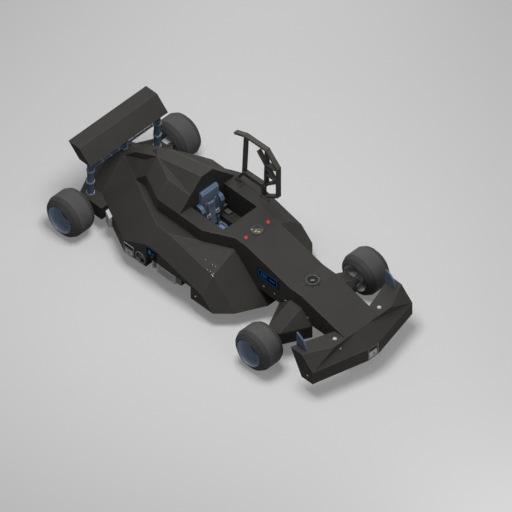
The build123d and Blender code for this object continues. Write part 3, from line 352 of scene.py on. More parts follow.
finishes = {
    "body": paintFinish("bodyPaint", tone(59, 58, 55)),
    "bodyWorn": paintFinish("bodyEdge", tone(78, 76, 72), 0.42),
    "trim": paintFinish("blueGreyPaint", tone(100, 121, 145), 0.36),
    "trimWorn": paintFinish("blueGreyEdge", tone(122, 142, 162), 0.32),
    "rim": paintFinish("rimPaint", tone(196, 213, 236), 0.36, 0.0, 0.1),
    "rimEdge": metalFinish("rimLipMetal", tone(150, 164, 182), 0.28, 0.7),
    "rimWeb": paintFinish("rimWebPaint", tone(92, 96, 102), 0.45),
    "frame": paintFinish("framePaint", tone(76, 74, 71), 0.5),
    "frameWorn": paintFinish("frameEdge", tone(92, 89, 85), 0.45),
    "steel": metalFinish("brushedSteel", tone(150, 150, 152), 0.35),
    "bright": metalFinish("polishedSteel", tone(222, 224, 228), 0.16, 0.95),
    "alloy": metalFinish("castAlloy", tone(176, 177, 179), 0.42, 0.55),
    "pale": paintFinish("paleEnamel", tone(232, 233, 235), 0.34, 0.0, 0.12),
    "buckle": paintFinish("buckleEnamel", tone(252, 252, 253), 0.30, 0.0, 0.05),
    "hub": paintFinish("hubEnamel", tone(226, 226, 226), 0.42, 0.0, 0.10),
    "collar": metalFinish("collarMetal", tone(160, 182, 204), 0.33, 0.35),
    "engine": metalFinish("castIron", tone(88, 88, 88), 0.6, 0.4),
    "black": plasticFinish("blackPlastic", tone(30, 30, 32), 0.5),
    "grip": plasticFinish("gripRubber", tone(42, 42, 44), 0.68, 0.004),
    # Near black: the colour of dark studs, plugs and lamp wells, and painted shade where it fills drilled
    # holes, screw sockets, fastener slots, stitch holes, the hub's bore and the duct's back
    "dark": paintFinish("darkPaintAndRecessShade", tone(20, 20, 22), 0.7, 0.0, 0.1),
    "plank": paintFinish("plankSkin", tone(46, 45, 44), 0.6),
    "panel": plasticFinish("blackPanel", tone(6, 6, 7), 0.35, 0.001, 0.06),
    "blue": plasticFinish("blueMark", tone(8, 140, 220), 0.35, 0.0015, 0.2),
    "yellow": plasticFinish("yellowMark", tone(250, 240, 20), 0.4),
    "grey": plasticFinish("greyPlastic", tone(120, 120, 120), 0.45),
    "tread": rubberFinish("slickTread", tone(89, 89, 90), True),
    "sidewall": rubberFinish("slickSidewall", tone(69, 69, 70), False),
    "lamp": lensFinish("lampLens", tone(226, 230, 236), 0.012),
    # The red lens glows for the deck lamps; on the belt buckle's tab and a steering knob that take it, the
    # glow is painted light on parts that are no lamps
    "red": lensFinish("redLens", tone(232, 2, 2), 0.006, 0.3, 0.15),
    "seat": plasticFinish("seatMoulding", tone(96, 118, 146), 0.42, 0.003),
    "seatEdge": plasticFinish("seatPiping", tone(124, 148, 180), 0.4, 0.003),
    "pad": clothFinish("seatCloth", tone(132, 158, 192), 0.0042),
    "webbing": webbingFinish("beltWebbing", tone(104, 104, 104)),
    "headrest": clothFinish("headrestHide", tone(104, 128, 158), 0.009, 0.6),
    "thread": plasticFinish("pipingThread", tone(160, 180, 206), 0.6),
    "greyPlate": plasticFinish("dialPlate", tone(84, 84, 84), 0.5),
    "core": paintFinish("coolerCore", tone(236, 237, 239), 0.45, 0.0, 0.05),
    "portRing": paintFinish("portRing", tone(78, 78, 79), 0.45),
    "dialRing": plasticFinish("dialRing", tone(88, 88, 88), 0.45),
    "blueLine": plasticFinish("blueOutline", tone(10, 140, 226), 0.4, 0.0015, 0.2),
}
print("finishes made:", len(finishes))


# Surfaces: each is worked out whole with numpy, then put into a mesh
def unit(way):
    return np.asarray(way, float) / np.linalg.norm(way)


def gridShape(points, finish, wrapRows=False, capEnds=False):
    # Quads between neighbours of a grid of points whose rows are rings, with lengths in metres as the UV map
    rows, columns = points.shape[:2]
    i = np.arange(rows if wrapRows else rows - 1)
    a, b = (m.ravel() for m in np.meshgrid(i, np.arange(columns), indexing="ij"))
    c, d = (a + 1) % rows, (b + 1) % columns
    quads = np.stack([a * columns + b, a * columns + d, c * columns + d, c * columns + b], -1)
    across = np.linalg.norm(np.roll(points, -1, 1) - points, axis=2).mean(0)
    along = np.linalg.norm(np.roll(points, -1, 0) - points, axis=2).mean(1)
    u = np.concatenate([[0], np.cumsum(across)])
    v = np.concatenate([[0], np.cumsum(along)])
    uv = np.stack([u[b], v[a], u[b + 1], v[a], u[b + 1], v[a + 1], u[b], v[a + 1]], -1).reshape(-1, 4, 2)
    caps = []
    if capEnds:
        caps = [np.arange(columns)[::-1], (rows - 1) * columns + np.arange(columns)]
    return {"points": points.reshape(-1, 3), "quads": quads, "uv": uv, "caps": caps, "finish": finish}


def turned(profile, centre, axis, finish, steps, closed=False):
    # Rows of (offset along the axis, radius) turned about it: p = centre + offset*axis + radius*round
    profile = np.asarray(profile, float)
    axis = unit(axis)
    side = unit(np.cross(axis, (0.0, 0.0, 1.0) if abs(axis[2]) < 0.9 else (1.0, 0.0, 0.0)))
    angle = np.linspace(0, 2 * math.pi, steps, endpoint=False)
    ring = np.cos(angle)[:, None] * side + np.sin(angle)[:, None] * np.cross(axis, side)
    points = np.asarray(centre) + profile[:, None, :1] * axis + profile[:, None, 1:] * ring[None]
    shape = gridShape(points, finish, wrapRows=closed)
    if not closed:
        ends = ((profile[0, 1], np.arange(steps)[::-1]),
                (profile[-1, 1], (len(profile) - 1) * steps + np.arange(steps)))
        shape["caps"] = [ring for radius, ring in ends if radius > 1e-6]
    return shape


def slab(outline, thickness, place, finish):
    # A flat outline (n, 2) made thickness deep, on the plane of place: origin, x, y and z axes
    outline = np.asarray(outline, float)
    flat = np.concatenate([outline, np.zeros((len(outline), 1))], 1)
    both = np.stack([flat, flat + (0, 0, thickness)])
    return moved(gridShape(both, finish, capEnds=True), place)


def moved(shape, place):
    origin, x, y, z = place
    points = shape["points"] @ np.array([x, y, z], float) + np.asarray(origin, float)
    return {**shape, "points": points}


def placeAt(origin, z=(0, 0, 1), x=(1, 0, 0)):
    # A place whose z axis is given and whose x axis leans towards the given one
    z = unit(z)
    x = unit(np.asarray(x, float) - np.dot(x, z) * z)
    return (origin, x, np.cross(z, x), z)


def cornerArcs(steps):
    # The round corners of a rectangle: which corner each point is on, and its way out from the arc's centre
    quarter = np.linspace(0, math.pi / 2, steps + 1)
    angle = np.concatenate([quarter + k * math.pi / 2 for k in range(4)])
    signs = np.repeat(np.array([(1, 1), (-1, 1), (-1, -1), (1, -1)], float), steps + 1, axis=0)
    return signs, np.stack([np.cos(angle), np.sin(angle)], -1)


def block(low, high, radius, finish, steps=3, place=None):
    # A box with rounded edges: its section, a rounded rectangle, draws in by a quarter round at both ends
    low, high = np.asarray(low, float), np.asarray(high, float)
    middle, half = (low + high) / 2, (high - low) / 2
    radius = min(radius, half.min() * 0.98)
    signs, way = cornerArcs(steps)
    turn = np.linspace(math.pi / 2, 0, steps + 1)
    lower = radius - half[2] - radius * np.sin(turn)
    level = np.concatenate([lower, -lower[::-1]])
    round_ = radius * np.cos(np.concatenate([turn, turn[::-1]]))
    outline = signs * (half[:2] - radius) + round_[:, None, None] * way
    levels = np.broadcast_to(level[:, None, None], (*outline.shape[:2], 1))
    points = np.concatenate([outline, levels], -1) + middle
    shape = gridShape(points, finish, capEnds=True)
    return moved(shape, place) if place else shape


def roundedSection(width, thickness, radius, steps=3):
    # The outline of a bar: a rectangle with its corners rounded
    radius = min(radius, min(width, thickness) * 0.49)
    signs, way = cornerArcs(steps)
    return signs * (width / 2 - radius, thickness / 2 - radius) + radius * way


def carried(section, path, side, finish, closed=False):
    # A section (across, up) carried along a path: p = path + across*side + up*(path's run x side)
    path = np.asarray(path, float)
    side = unit(side)
    if closed:
        run = np.roll(path, -1, 0) - np.roll(path, 1, 0)
    else:
        run = np.gradient(path, axis=0)
    up = np.cross(run, side)
    up = up / np.linalg.norm(up, axis=1, keepdims=True)
    points = path[:, None] + section[None, :, :1] * side + section[None, :, 1:] * up[:, None]
    return gridShape(points, finish, wrapRows=closed, capEnds=not closed)


def copied(shape, places):
    # Copies of a shape as one, from the points of each copy
    count, size = places.shape[:2]
    starts = np.arange(count) * size
    quads = (shape["quads"][None] + starts[:, None, None]).reshape(-1, 4)
    caps = [cap + start for start in starts for cap in shape["caps"]]
    uv = np.tile(shape["uv"], (count, 1, 1))
    return {**shape, "points": places.reshape(-1, 3), "quads": quads, "uv": uv, "caps": caps}


def repeated(shape, offsets):
    # The same shape at several offsets
    return copied(shape, shape["points"][None] + np.asarray(offsets, float)[:, None])


def flipped(shape):
    # The same shape on the car's other side
    return {**shape, "points": shape["points"] * (-1, 1, 1)}


def bothSides(shapes):
    return shapes + [flipped(s) for s in shapes]


def arcPoints(radius, start, end, steps):
    # Points on an arc in a plane, from one angle to another in degrees
    angle = np.radians(np.linspace(start, end, steps))
    return radius * np.stack([np.cos(angle), np.sin(angle)], -1)


def eased(corners, radius, steps=4):
    # A bent line with its inner corners rounded: quadratic curves from radius before to radius after each
    corners = np.asarray(corners, float)
    before, here, after = corners[:-2], corners[1:-1], corners[2:]
    back, ahead = before - here, after - here
    backLength = np.linalg.norm(back, axis=1, keepdims=True)
    aheadLength = np.linalg.norm(ahead, axis=1, keepdims=True)
    reach = np.minimum(np.minimum(backLength, aheadLength) * 0.45, radius)
    first = here + back / backLength * reach
    last = here + ahead / aheadLength * reach
    t = np.linspace(0, 1, steps + 1)[None, :, None]
    bends = (1 - t) ** 2 * first[:, None] + 2 * t * (1 - t) * here[:, None] + t ** 2 * last[:, None]
    return np.concatenate([corners[:1], bends.reshape(-1, corners.shape[1]), corners[-1:]])


def readPoints(mesh):
    points = np.empty(len(mesh.vertices) * 3)
    mesh.vertices.foreach_get("co", points)
    return points.reshape(-1, 3)


def meshOf(name, shapes):
    # One mesh from its shapes, each with its own finish; doubles merged and faces turned outwards
    sizes = np.cumsum([0] + [len(s["points"]) for s in shapes])
    points = np.concatenate([s["points"] for s in shapes])
    used = list(dict.fromkeys(s["finish"] for s in shapes))
    loops, counts, uvs, finishIndex = [], [], [], []
    for s, start in zip(shapes, sizes):
        loops.append((s["quads"] + start).ravel())
        counts.append(np.full(len(s["quads"]), 4))
        uvs.append(s["uv"].reshape(-1, 2))
        finishIndex.append(np.full(len(s["quads"]) + len(s["caps"]), used.index(s["finish"])))
        for cap in s["caps"]:
            loops.append(cap + start)
            counts.append(np.array([len(cap)]))
            flat = s["points"][cap]
            reach = flat.max(0) - flat.min(0)
            keep = np.sort(np.argsort(reach)[1:])
            uvs.append(flat[:, keep])
    loops, counts, uvs = np.concatenate(loops), np.concatenate(counts), np.concatenate(uvs)
    mesh = bpy.data.meshes.new(name)
    mesh.vertices.add(len(points))
    mesh.vertices.foreach_set("co", points.ravel())
    mesh.loops.add(len(loops))
    mesh.loops.foreach_set("vertex_index", loops.astype(np.int32))
    mesh.polygons.add(len(counts))
    mesh.polygons.foreach_set("loop_start", np.concatenate([[0], np.cumsum(counts)[:-1]]).astype(np.int32))
    mesh.polygons.foreach_set("material_index", np.concatenate(finishIndex).astype(np.int32))
    mesh.uv_layers.new(name="along").data.foreach_set("uv", uvs.astype(np.float32).ravel())
    mesh.update(calc_edges=True)
    mesh.validate()
    work = bmesh.new()
    work.from_mesh(mesh)
    bmesh.ops.remove_doubles(work, verts=work.verts, dist=2e-6)
    bmesh.ops.recalc_face_normals(work, faces=work.faces)
    work.to_mesh(mesh)
    work.free()
    for finish in used:
        mesh.materials.append(finishes[finish])
    return mesh


def roundEdges(piece, width, angle):
    bevel = piece.modifiers.new("rounding", "BEVEL")
    bevel.width = width
    bevel.segments = 2
    bevel.limit_method = "ANGLE"
    bevel.angle_limit = math.radians(angle)
    return bevel


def intoFrame(name, mesh, body, replaced):
    # An object of the mesh that rides its body and stands for the nodes it replaces
    piece = bpy.data.objects.new(name, mesh)
    bpy.context.collection.objects.link(piece)
    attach(piece, body)
    if replaced:
        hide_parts(*replaced)
    return piece


def addPiece(name, shapes, body, replaced=(), smooth=32, rounding=0.0):
    # A piece from its shapes; edges sharper than smooth degrees stay sharp, or are rounded
    mesh = meshOf(name, shapes)
    mesh.shade_smooth()
    mesh.set_sharp_from_angle(angle=math.radians(smooth))
    piece = intoFrame(name, mesh, body, replaced)
    if rounding:
        roundEdges(piece, rounding, smooth)
    return piece


print("surface helpers ready")


# Bodywork: the car's own facets with every edge rounded and a little worn
bodywork = {
    "skins": [                 # finish, finish of its edges, width of the rounding, nodes
        ("body", "bodyWorn", 0.004, ["tub", "nose_cone", "front_wing"]),
        ("trim", "trimWorn", 0.003, ["nose_fins"]),
        ("body", "bodyWorn", 0.004, [
            "front_fairings", "engine_cover", "gearbox_cover", "tail_cowls", "sidepod_left", "sidepod_right",
            "rear_deck", "rear_wing",
        ]),
        ("plank", "plank", 0.003, ["floor_plank"]),
        ("engine", "engine", 0.004, ["engine_block"]),
        ("seat", "seatEdge", 0.008, ["seat_shell"]),
        ("frame", "frameWorn", 0.003, ["hatch_frame"]),
        ("frame", "frameWorn", 0.0015, ["hatch_hinges"]),
        ("steel", "bright", 0.002, ["front_arms"]),
        ("hub", "hub", 0.002, ["rear_carriers"]),
        ("hub", "hub", 0.003, ["knuckle_left", "knuckle_right"]),
    ],
    "edgeAngle": 18.0,         # degrees; the many sides of a pin stay as they are
}


def facetedSkin(node, finish, worn, width):
    # The node's own facets: doubles merged, flat neighbours joined, edges rounded in the worn finish
    source = nodes[node].data
    corners = np.empty(len(source.loops), np.int32)
    source.loops.foreach_get("vertex_index", corners)
    mesh = bpy.data.meshes.new(node + "_skin")
    mesh.from_pydata(readPoints(source), [], corners.reshape(-1, 3))
    work = bmesh.new()
    work.from_mesh(mesh)
    bmesh.ops.remove_doubles(work, verts=work.verts, dist=1e-5)
    bmesh.ops.dissolve_limit(work, angle_limit=math.radians(1), verts=work.verts, edges=work.edges)
    work.to_mesh(mesh)
    work.free()
    mesh.materials.append(finishes[finish])
    mesh.materials.append(finishes[worn])
    skin = intoFrame(node + "_skin", mesh, bodyOf[node], [node])
    rounding = roundEdges(skin, width, bodywork["edgeAngle"])
    rounding.material = 1
    rounding.use_clamp_overlap = True


for finish, worn, width, names in bodywork["skins"]:
    for node in names:
        facetedSkin(node, finish, worn, width)
print("bodywork skins made")


# Small shapes that many pieces share
def dome(at, axis, radius, height, finish):
    # A button head: its radius falls off as a quarter round over its height
    turn = np.linspace(0, math.pi / 2, 5)
    profile = np.stack([height * np.sin(turn), radius * np.cos(turn)], -1)
    profile[-1, 1] = 0
    return turned(np.concatenate([[(-0.002, radius)], profile]), at, axis, finish, 14)


def disc(at, axis, radius, height, finish, steps=20):
    # A flat round head with its rim turned over
    rim = 0.0008
    profile = [(-0.002, radius), (height - rim, radius), (height, radius - rim), (height, 0.0)]
    return turned(profile, at, axis, finish, steps)


def boltHead(at, axis, radius, finish="bright"):
    # A cap screw: a low washer, the head, and a dark socket that shows as a hexagon: a thin near-black
    # hexagon on the head, painted shade in place of a sunk socket
    at, axis = np.asarray(at, float), np.asarray(axis, float)
    return [
        disc(at, axis, radius * 1.45, radius * 0.16, finish, 18),
        disc(at, axis, radius, radius * 0.75, finish, 18),
        turned([(radius * 0.60, radius * 0.5), (radius * 0.765, radius * 0.5), (radius * 0.765, 0)],
               at, axis, "dark", 6),
    ]


def around(shape, centre, axis, count, offset=0.0):
    # Copies of a shape turned evenly about an axis
    axis = unit(axis)
    angle = offset + np.arange(count) * 2 * math.pi / count
    local = shape["points"] - np.asarray(centre, float)
    along = (local @ axis)[:, None] * axis
    radial = local - along
    swung = np.cross(axis, radial)
    places = np.cos(angle)[:, None, None] * radial + np.sin(angle)[:, None, None] * swung + along
    return copied(shape, places + np.asarray(centre, float))


def inFrom(radius, rows):
    # A turned outline: each row gives an offset, and how far in from the radius
    return np.array(rows) * (1, -1) + (0, radius)


def cornerScrews(place, reach, lift, radius):
    # A cap screw at each corner of a plate: reach from its middle, lift above it
    origin, x, y, z = (np.asarray(part, float) for part in place)
    corners = [origin + x * sx * reach[0] + y * sy * reach[1] + z * lift for sx in (-1, 1) for sy in (-1, 1)]
    return [part for corner in corners for part in boltHead(corner, z, radius, "steel")]


def joined(sections, centre, axis, steps):
    # A closed turned section in several finishes: each run of its outline is one open surface
    shapes = []
    for finish, profile in sections:
        shape = turned(profile, centre, axis, finish, steps)
        shapes.append({**shape, "caps": []})
    return shapes


def rectangleRim(place, width, height, bar, proud, finish, round_=0.004):
    # A flat frame: a bar carried round a rectangle whose corners are eased
    signs, way = cornerArcs(4)
    path = signs * ((width - bar) / 2 - round_, (height - bar) / 2 - round_) + way * round_
    path = np.column_stack([path, np.full(len(path), proud / 2)])
    section = roundedSection(proud, bar, min(proud, bar) * 0.2, 2)
    return moved(carried(section, path, (0, 0, 1), finish, closed=True), place)


# Wheels: slick, rim, brake disc and centre lock
wheels = {
    "corners": [               # name, side, how far along the car
        ("front_left", 1, -1.625), ("front_right", -1, -1.625),
        ("rear_left", 1, 2.625), ("rear_right", -1, 2.625),
    ],
    "across": 1.2,
    "radius": 0.375,
    "tyre": [                  # offset from the middle, radius: from bead to bead over the tread
        (-0.25, 0.2505), (-0.25, 0.262), (-0.2, 0.34), (-0.125, 0.375),
        (0.125, 0.375), (0.2, 0.34), (0.25, 0.262), (0.25, 0.2505),
    ],
    "cornerEase": 0.004,
    "steps": 96,
    "band": [                  # a raised band near the bead: share of the flank, height
        (0.10, 0), (0.12, 0.0025), (0.20, 0.0025), (0.22, 0),
    ],
    "wearPlugs": (0.6, 2.2),   # turns in radians, on the outer flank
    "rim": [                   # finish, then offset and radius, from the outer lip to the inner one
        ("rimEdge", [(-0.25, 0.2495), (0.25, 0.2495)]),
        ("rimEdge", [(0.25, 0.2495), (0.25, 0.2405), (0.2485, 0.2385), (0.246, 0.2375)]),
        ("rim", [(0.246, 0.2375), (0.162, 0.2265), (0.156, 0.226), (0.030, 0.226), (0.0235, 0.224),
                 (0.0205, 0.219)]),
        ("rimWeb", [(0.0205, 0.219), (0.020, 0.215), (0.020, 0.082)]),
        ("rim", [(0.020, 0.082), (0.0275, 0.080), (0.030, 0.077), (0.030, 0.066), (0.0275, 0.063),
                 (0.024, 0.062)]),
        ("rimEdge", [(0.024, 0.062), (0.024, 0.0555), (0.047, 0.0548), (0.050, 0.052), (0.050, 0.0225)]),
        # The hub's bore is near black: painted shade inside the bore
        ("dark", [(0.050, 0.0225), (-0.070, 0.0225)]),
        ("rimEdge", [(-0.070, 0.0225), (-0.070, 0.052), (-0.067, 0.055), (-0.012, 0.055), (-0.010, 0.058)]),
        ("hub", [(-0.010, 0.058), (-0.010, 0.218)]),
        ("hub", [(-0.010, 0.218), (-0.013, 0.2245), (-0.020, 0.226), (-0.156, 0.226), (-0.162, 0.2265),
                 (-0.246, 0.2375)]),
        ("rimEdge", [(-0.246, 0.2375), (-0.2485, 0.2385), (-0.25, 0.2405), (-0.25, 0.2495)]),
    ],
    "disc": (-0.07, -0.05, 0.058, 0.15),       # inner face, outer face, inner radius, outer radius
    "plate": 0.007,            # each of the disc's two plates, with vanes between them
    "vanes": 36,
    "holes": [                 # rings of holes in the disc, each a near-black disc painted as a hole's shade: radius, count, turn
        (0.085, 18, 0.0), (0.108, 24, 0.1), (0.131, 30, 0.2),
    ],
    "bobbin": [(-0.078, 0.006), (-0.076, 0.0072), (-0.044, 0.0072), (-0.042, 0.006), (-0.042, 0)],
    "bobbinRing": 0.066,
    "webBolts": (0.020, 0.102, 0.0065),        # offset, ring, head
    "nut": (0.048, 0.040, 0.016),              # offset, radius, height
    "nutCap": [(0.060, 0.030), (0.068, 0.029), (0.070, 0.026), (0.070, 0.018), (0.058, 0.016), (0.058, 0)],
    "valve": [(0, 0.006), (0.004, 0.006), (0.006, 0.0042), (0.028, 0.0036), (0.030, 0.003), (0.030, 0)],
    "valveAt": (0.10, 0.226),
    "weightAt": (0.13, 0.2262),
}


def tyreShapes(centre, axis):
    bead, flank = np.array(wheels["tyre"][:3]), np.array(wheels["tyre"][1:3])
    run = flank[1] - flank[0]
    out = unit((-run[1], run[0]))
    band = [flank[0] + run * share + out * height for share, height in wheels["band"]]
    side = eased(np.concatenate([bead[:2], band, flank[1:], [wheels["tyre"][3]]]), wheels["cornerEase"], 3)
    # The tread starts just below its edge, a little proud of the flank
    edge, far = np.array(wheels["tyre"][3]), np.array(wheels["tyre"][4])
    under, over, in_ = np.array((-0.004, -0.0018)), np.array((0.001, 0.0)), np.array((0.006, 0.0))
    first = np.concatenate([side[:-1], [edge + under]])
    tread = np.stack([edge + under, edge + over, edge + in_, far - in_, far - over, far + under * (-1, 1)])
    last = first[::-1] * (-1, 1)
    seat = np.array([wheels["tyre"][-1], wheels["tyre"][0]])
    sections = [("sidewall", first), ("tread", tread), ("sidewall", last), ("sidewall", seat)]
    return joined(sections, centre, axis, wheels["steps"])


def discShapes(centre, axis, across, up):
    # Two plates with vanes between them; their holes are thin near-black discs on the faces, painted shade in
    # place of drilled holes
    inner, outer, low, high = wheels["disc"]
    plate = wheels["plate"]
    shapes = []
    for start, face, facing in ((inner, inner, -1), (outer - plate, outer, 1)):
        ring = [(start, low), (start, high - 0.001), (start + 0.001, high), (start + plate - 0.001, high),
                (start + plate, high - 0.001), (start + plate, low)]
        shapes.append(turned(ring, centre, axis, "steel", 72, closed=True))
        for radius, count, turn in wheels["holes"]:
            hole = turned([(-0.001, 0.0042), (0.0004, 0.0042), (0.0004, 0)],
                          centre + axis * face + up * radius, axis * facing, "dark", 8)
            shapes.append(around(hole, centre, axis, count, turn))
    vane = block((-0.0012, low, inner + plate), (0.0012, high - 0.004, outer - plate), 0.0008, "alloy", 1,
                 (centre, across, up, axis))
    return shapes + [around(vane, centre, axis, wheels["vanes"])]


def rimShapes(centre, axis):
    up = np.array((0.0, 0.0, 1.0))
    across = np.cross(axis, up)
    shapes = joined(wheels["rim"], centre, axis, wheels["steps"]) + discShapes(centre, axis, across, up)
    # Bobbins between hub and disc, bolts round the web, and the centre lock
    bobbin = turned(wheels["bobbin"], centre + up * wheels["bobbinRing"], axis, "bright", 12)
    shapes.append(around(bobbin, centre, axis, 12))
    offset, ring, head = wheels["webBolts"]
    for part in boltHead(centre + axis * offset + up * ring, axis, head, "steel"):
        shapes.append(around(part, centre, axis, 12))
    offset, radius, height = wheels["nut"]
    nutOutline = arcPoints(radius, 0, 345, 24) * np.tile([1.0, 0.9], 12)[:, None]
    shapes.append(slab(nutOutline, height, (centre + axis * offset, across, up, axis), "rimEdge"))
    shapes.append(turned(wheels["nutCap"], centre, axis, "steel", 36))
    # Valve in the bowl, and the balance weights beside it
    offset, radius = wheels["valveAt"]
    foot = centre + axis * offset + up * radius
    shapes.append(turned(wheels["valve"], foot, axis * 0.5 - up, "bright", 12))
    offset, radius = wheels["weightAt"]
    weight = block((-0.018, -0.0095, 0.0), (0.018, 0.0095, 0.006), 0.0015, "alloy", 2,
                   (centre + axis * offset - up * radius, across, axis, up))
    return shapes + [weight, around(weight, centre, axis, 1, 0.18)]


def makeWheels():
    flank = np.array(wheels["tyre"][5:7])
    at, run = flank.mean(0), flank[1] - flank[0]
    slope = unit((-run[1], run[0]))
    for name, side, along in wheels["corners"]:
        centre = np.array((side * wheels["across"], along, wheels["radius"]))
        axis = np.array((float(side), 0.0, 0.0))
        tyre = tyreShapes(centre, axis)
        for turn in wheels["wearPlugs"]:
            spoke = np.array((0.0, math.cos(turn), math.sin(turn)))
            tyre.append(dome(centre + axis * at[0] + spoke * at[1], axis * slope[0] + spoke * slope[1], 0.011,
                             0.003, "dark"))
        addPiece("slick_" + name, tyre, "wheel_" + name, ["tyre_" + name], 25)
        addPiece("wheel_rim_" + name, rimShapes(centre, axis), "wheel_" + name, ["rim_" + name], 28)


makeWheels()
print("wheels made")

# Nose: port, headlamp and markers
noseFittings = {
    "port": (0.0, -1.625, 1.0),
    "portRadius": 0.122,
    "portRing": [              # height, and how far in from the port's radius
        (-0.001, 0), (0.015, 0), (0.0195, 0.0015), (0.022, 0.006), (0.022, 0.024), (0.0195, 0.031),
        (0.014, 0.034), (-0.001, 0.034),
    ],
    "ribs": (0.030, 0.055, 0.080),
    "ribSection": [(0.003, 0), (0.0075, 0.001), (0.0075, 0.005), (0.003, 0.006)],
    "portBolts": (0.017, 0.022, 0.0055),       # how far in, height, head
    "studRing": 0.150,
    "headlamp": (0.0, -2.9995, 0.375),
    "headlampDepth": 0.060,
    "markers": (-0.5, -2.625, 0.75),
    "markerRadius": 0.036,
    "markerBase": [(-0.001, 0), (0.005, 0), (0.007, 0.003), (0.007, 0.006)],
    "markerGlass": (0.006, 0.016),             # foot, height
}
# Square lamp cells; the shares are of the half size inside the frame
cells = {
    "size": (0.226, 0.226),
    "bar": 0.012,
    "glass": (0.86, -0.92, 0.05),              # half width, low edge, high edge
    "brow": (0.92, 0.20, 0.34),
    "slats": (0.50, 0.66, 0.82),
    "pupil": (0.12, -0.42, 0.16),              # across, up, radius
}


def makePort():
    centre, r = np.array(noseFittings["port"]), noseFittings["portRadius"]
    up = (0, 0, 1)
    plate = [(-0.001, r - 0.033), (0.004, r - 0.033), (0.004, 0)]
    shapes = [turned(inFrom(r, noseFittings["portRing"]), centre, up, "portRing", 64, closed=True),
              turned(plate, centre, up, "plank", 48)]
    for radius in noseFittings["ribs"]:
        rib = inFrom(radius, noseFittings["ribSection"])
        shapes.append(turned(rib, centre, up, "plank", 48, closed=True))
    shapes.append(block((-0.010, -0.028, 0.003), (0.010, 0.028, 0.013), 0.003, "steel", 2,
                        placeAt(centre, up, (1, 1, 0))))
    inwards, height, head = noseFittings["portBolts"]
    for part in boltHead(centre + (r - inwards, 0, height), up, head, "steel"):
        shapes.append(around(part, centre, up, 8, math.pi / 8))
    stud = dome(centre + (noseFittings["studRing"], 0, 0), up, 0.009, 0.005, "dark")
    shapes.append(around(stud, centre, up, 8))
    addPiece("nosePort", shapes, "chassis", ["nose_port"])


def lampCell(place, depth):
    # A sunk cell: light frame, dark well, a lens low in it with a dark pupil, a brow and slats above
    origin, x, y, z = (np.asarray(part, float) for part in place)
    half, bar = np.array(cells["size"]) / 2, cells["bar"]
    corners = np.array([(-1, -1), (1, -1), (1, 1), (-1, 1)]) * half
    floor, wall = (np.column_stack([corners, np.full(4, -depth * share)]) for share in (1.0, 0.6))
    well = moved(gridShape(np.array([floor, wall]), "dark", capEnds=True), place)
    rim = rectangleRim((origin - z * depth, x, y, z), *cells["size"], bar, depth, "alloy", 0.006)
    across, up = half - bar
    wide, low, high = cells["glass"]
    glass = block((-across * wide, up * low, -depth * 0.7), (across * wide, up * high, -0.002), 0.012, "lamp",
                  4, place)
    wide, low, high = cells["brow"]
    brow = block((-across * wide, up * low, -depth * 0.7), (across * wide, up * high, -depth * 0.2), 0.003,
                 "steel", 2, place)
    slats = [block((-across * wide, up * level, -depth * 0.66),
                   (across * wide, up * level + 0.004, -depth * 0.35), 0.001, "black", 1, place)
             for level in cells["slats"]]
    aside, above, radius = cells["pupil"]
    eye = origin + x * across * aside + y * up * above - z * 0.004
    pupil = disc(eye, z, min(across, up) * radius, 0.0035, "dark")
    return [well, rim, glass, pupil, brow] + slats + cornerScrews(place, half - bar * 0.55, -0.003, 0.0028)


def makeNoseLamps():
    place = placeAt(noseFittings["headlamp"], (0, -1, 0), (1, 0, 0))
    addPiece("headlampCell", lampCell(place, noseFittings["headlampDepth"]), "chassis", ["headlamp"])
    at, r = np.array(noseFittings["markers"]), noseFittings["markerRadius"]
    base = turned(inFrom(r, noseFittings["markerBase"]), at, (0, 0, 1), "alloy", 32)
    foot, height = noseFittings["markerGlass"]
    turn = np.linspace(0, math.pi / 2, 7)
    cover = np.stack([foot + height * np.sin(turn), (r - 0.006) * np.cos(turn)], -1)
    cover[-1, 1] = 0
    glass = turned(cover, at, (0, 0, 1), "lamp", 32)
    addPiece("markerLamps", bothSides([base, glass]), "chassis", ["marker_lamps"])


makePort()
makeNoseLamps()

# Deck: the dial, the red lamps and the studs
deckFittings = {
    "dial": (0.0, -0.375, 1.25),
    "dialRadius": 0.104,
    "dialHeight": 0.018,
    "paintedShadeArc": (20, 160, 380),                # degrees: the black far part, as painted shade, then the light plate, as painted light
    "bars": [                  # across and ahead on the dial, half length, half width, turn in degrees
        (-0.027, -0.034, 0.018, 0.0085, 28), (0.022, -0.046, 0.017, 0.0085, 0),
    ],
    "ticks": (0.068, 15),      # radius, degrees between them
    "red": (-0.25, -0.375, 1.25),
    "redRadius": 0.030,
    "redHeight": 0.032,
    "studs": [                 # on the deck behind the frame's foot, and on the ledge beside the seat
        (0.5235, 0.4985, 1.25), (0.590, 0.4955, 1.25), (0.262, 0.455, 0.75), (0.330, 0.455, 0.75),
    ],
}


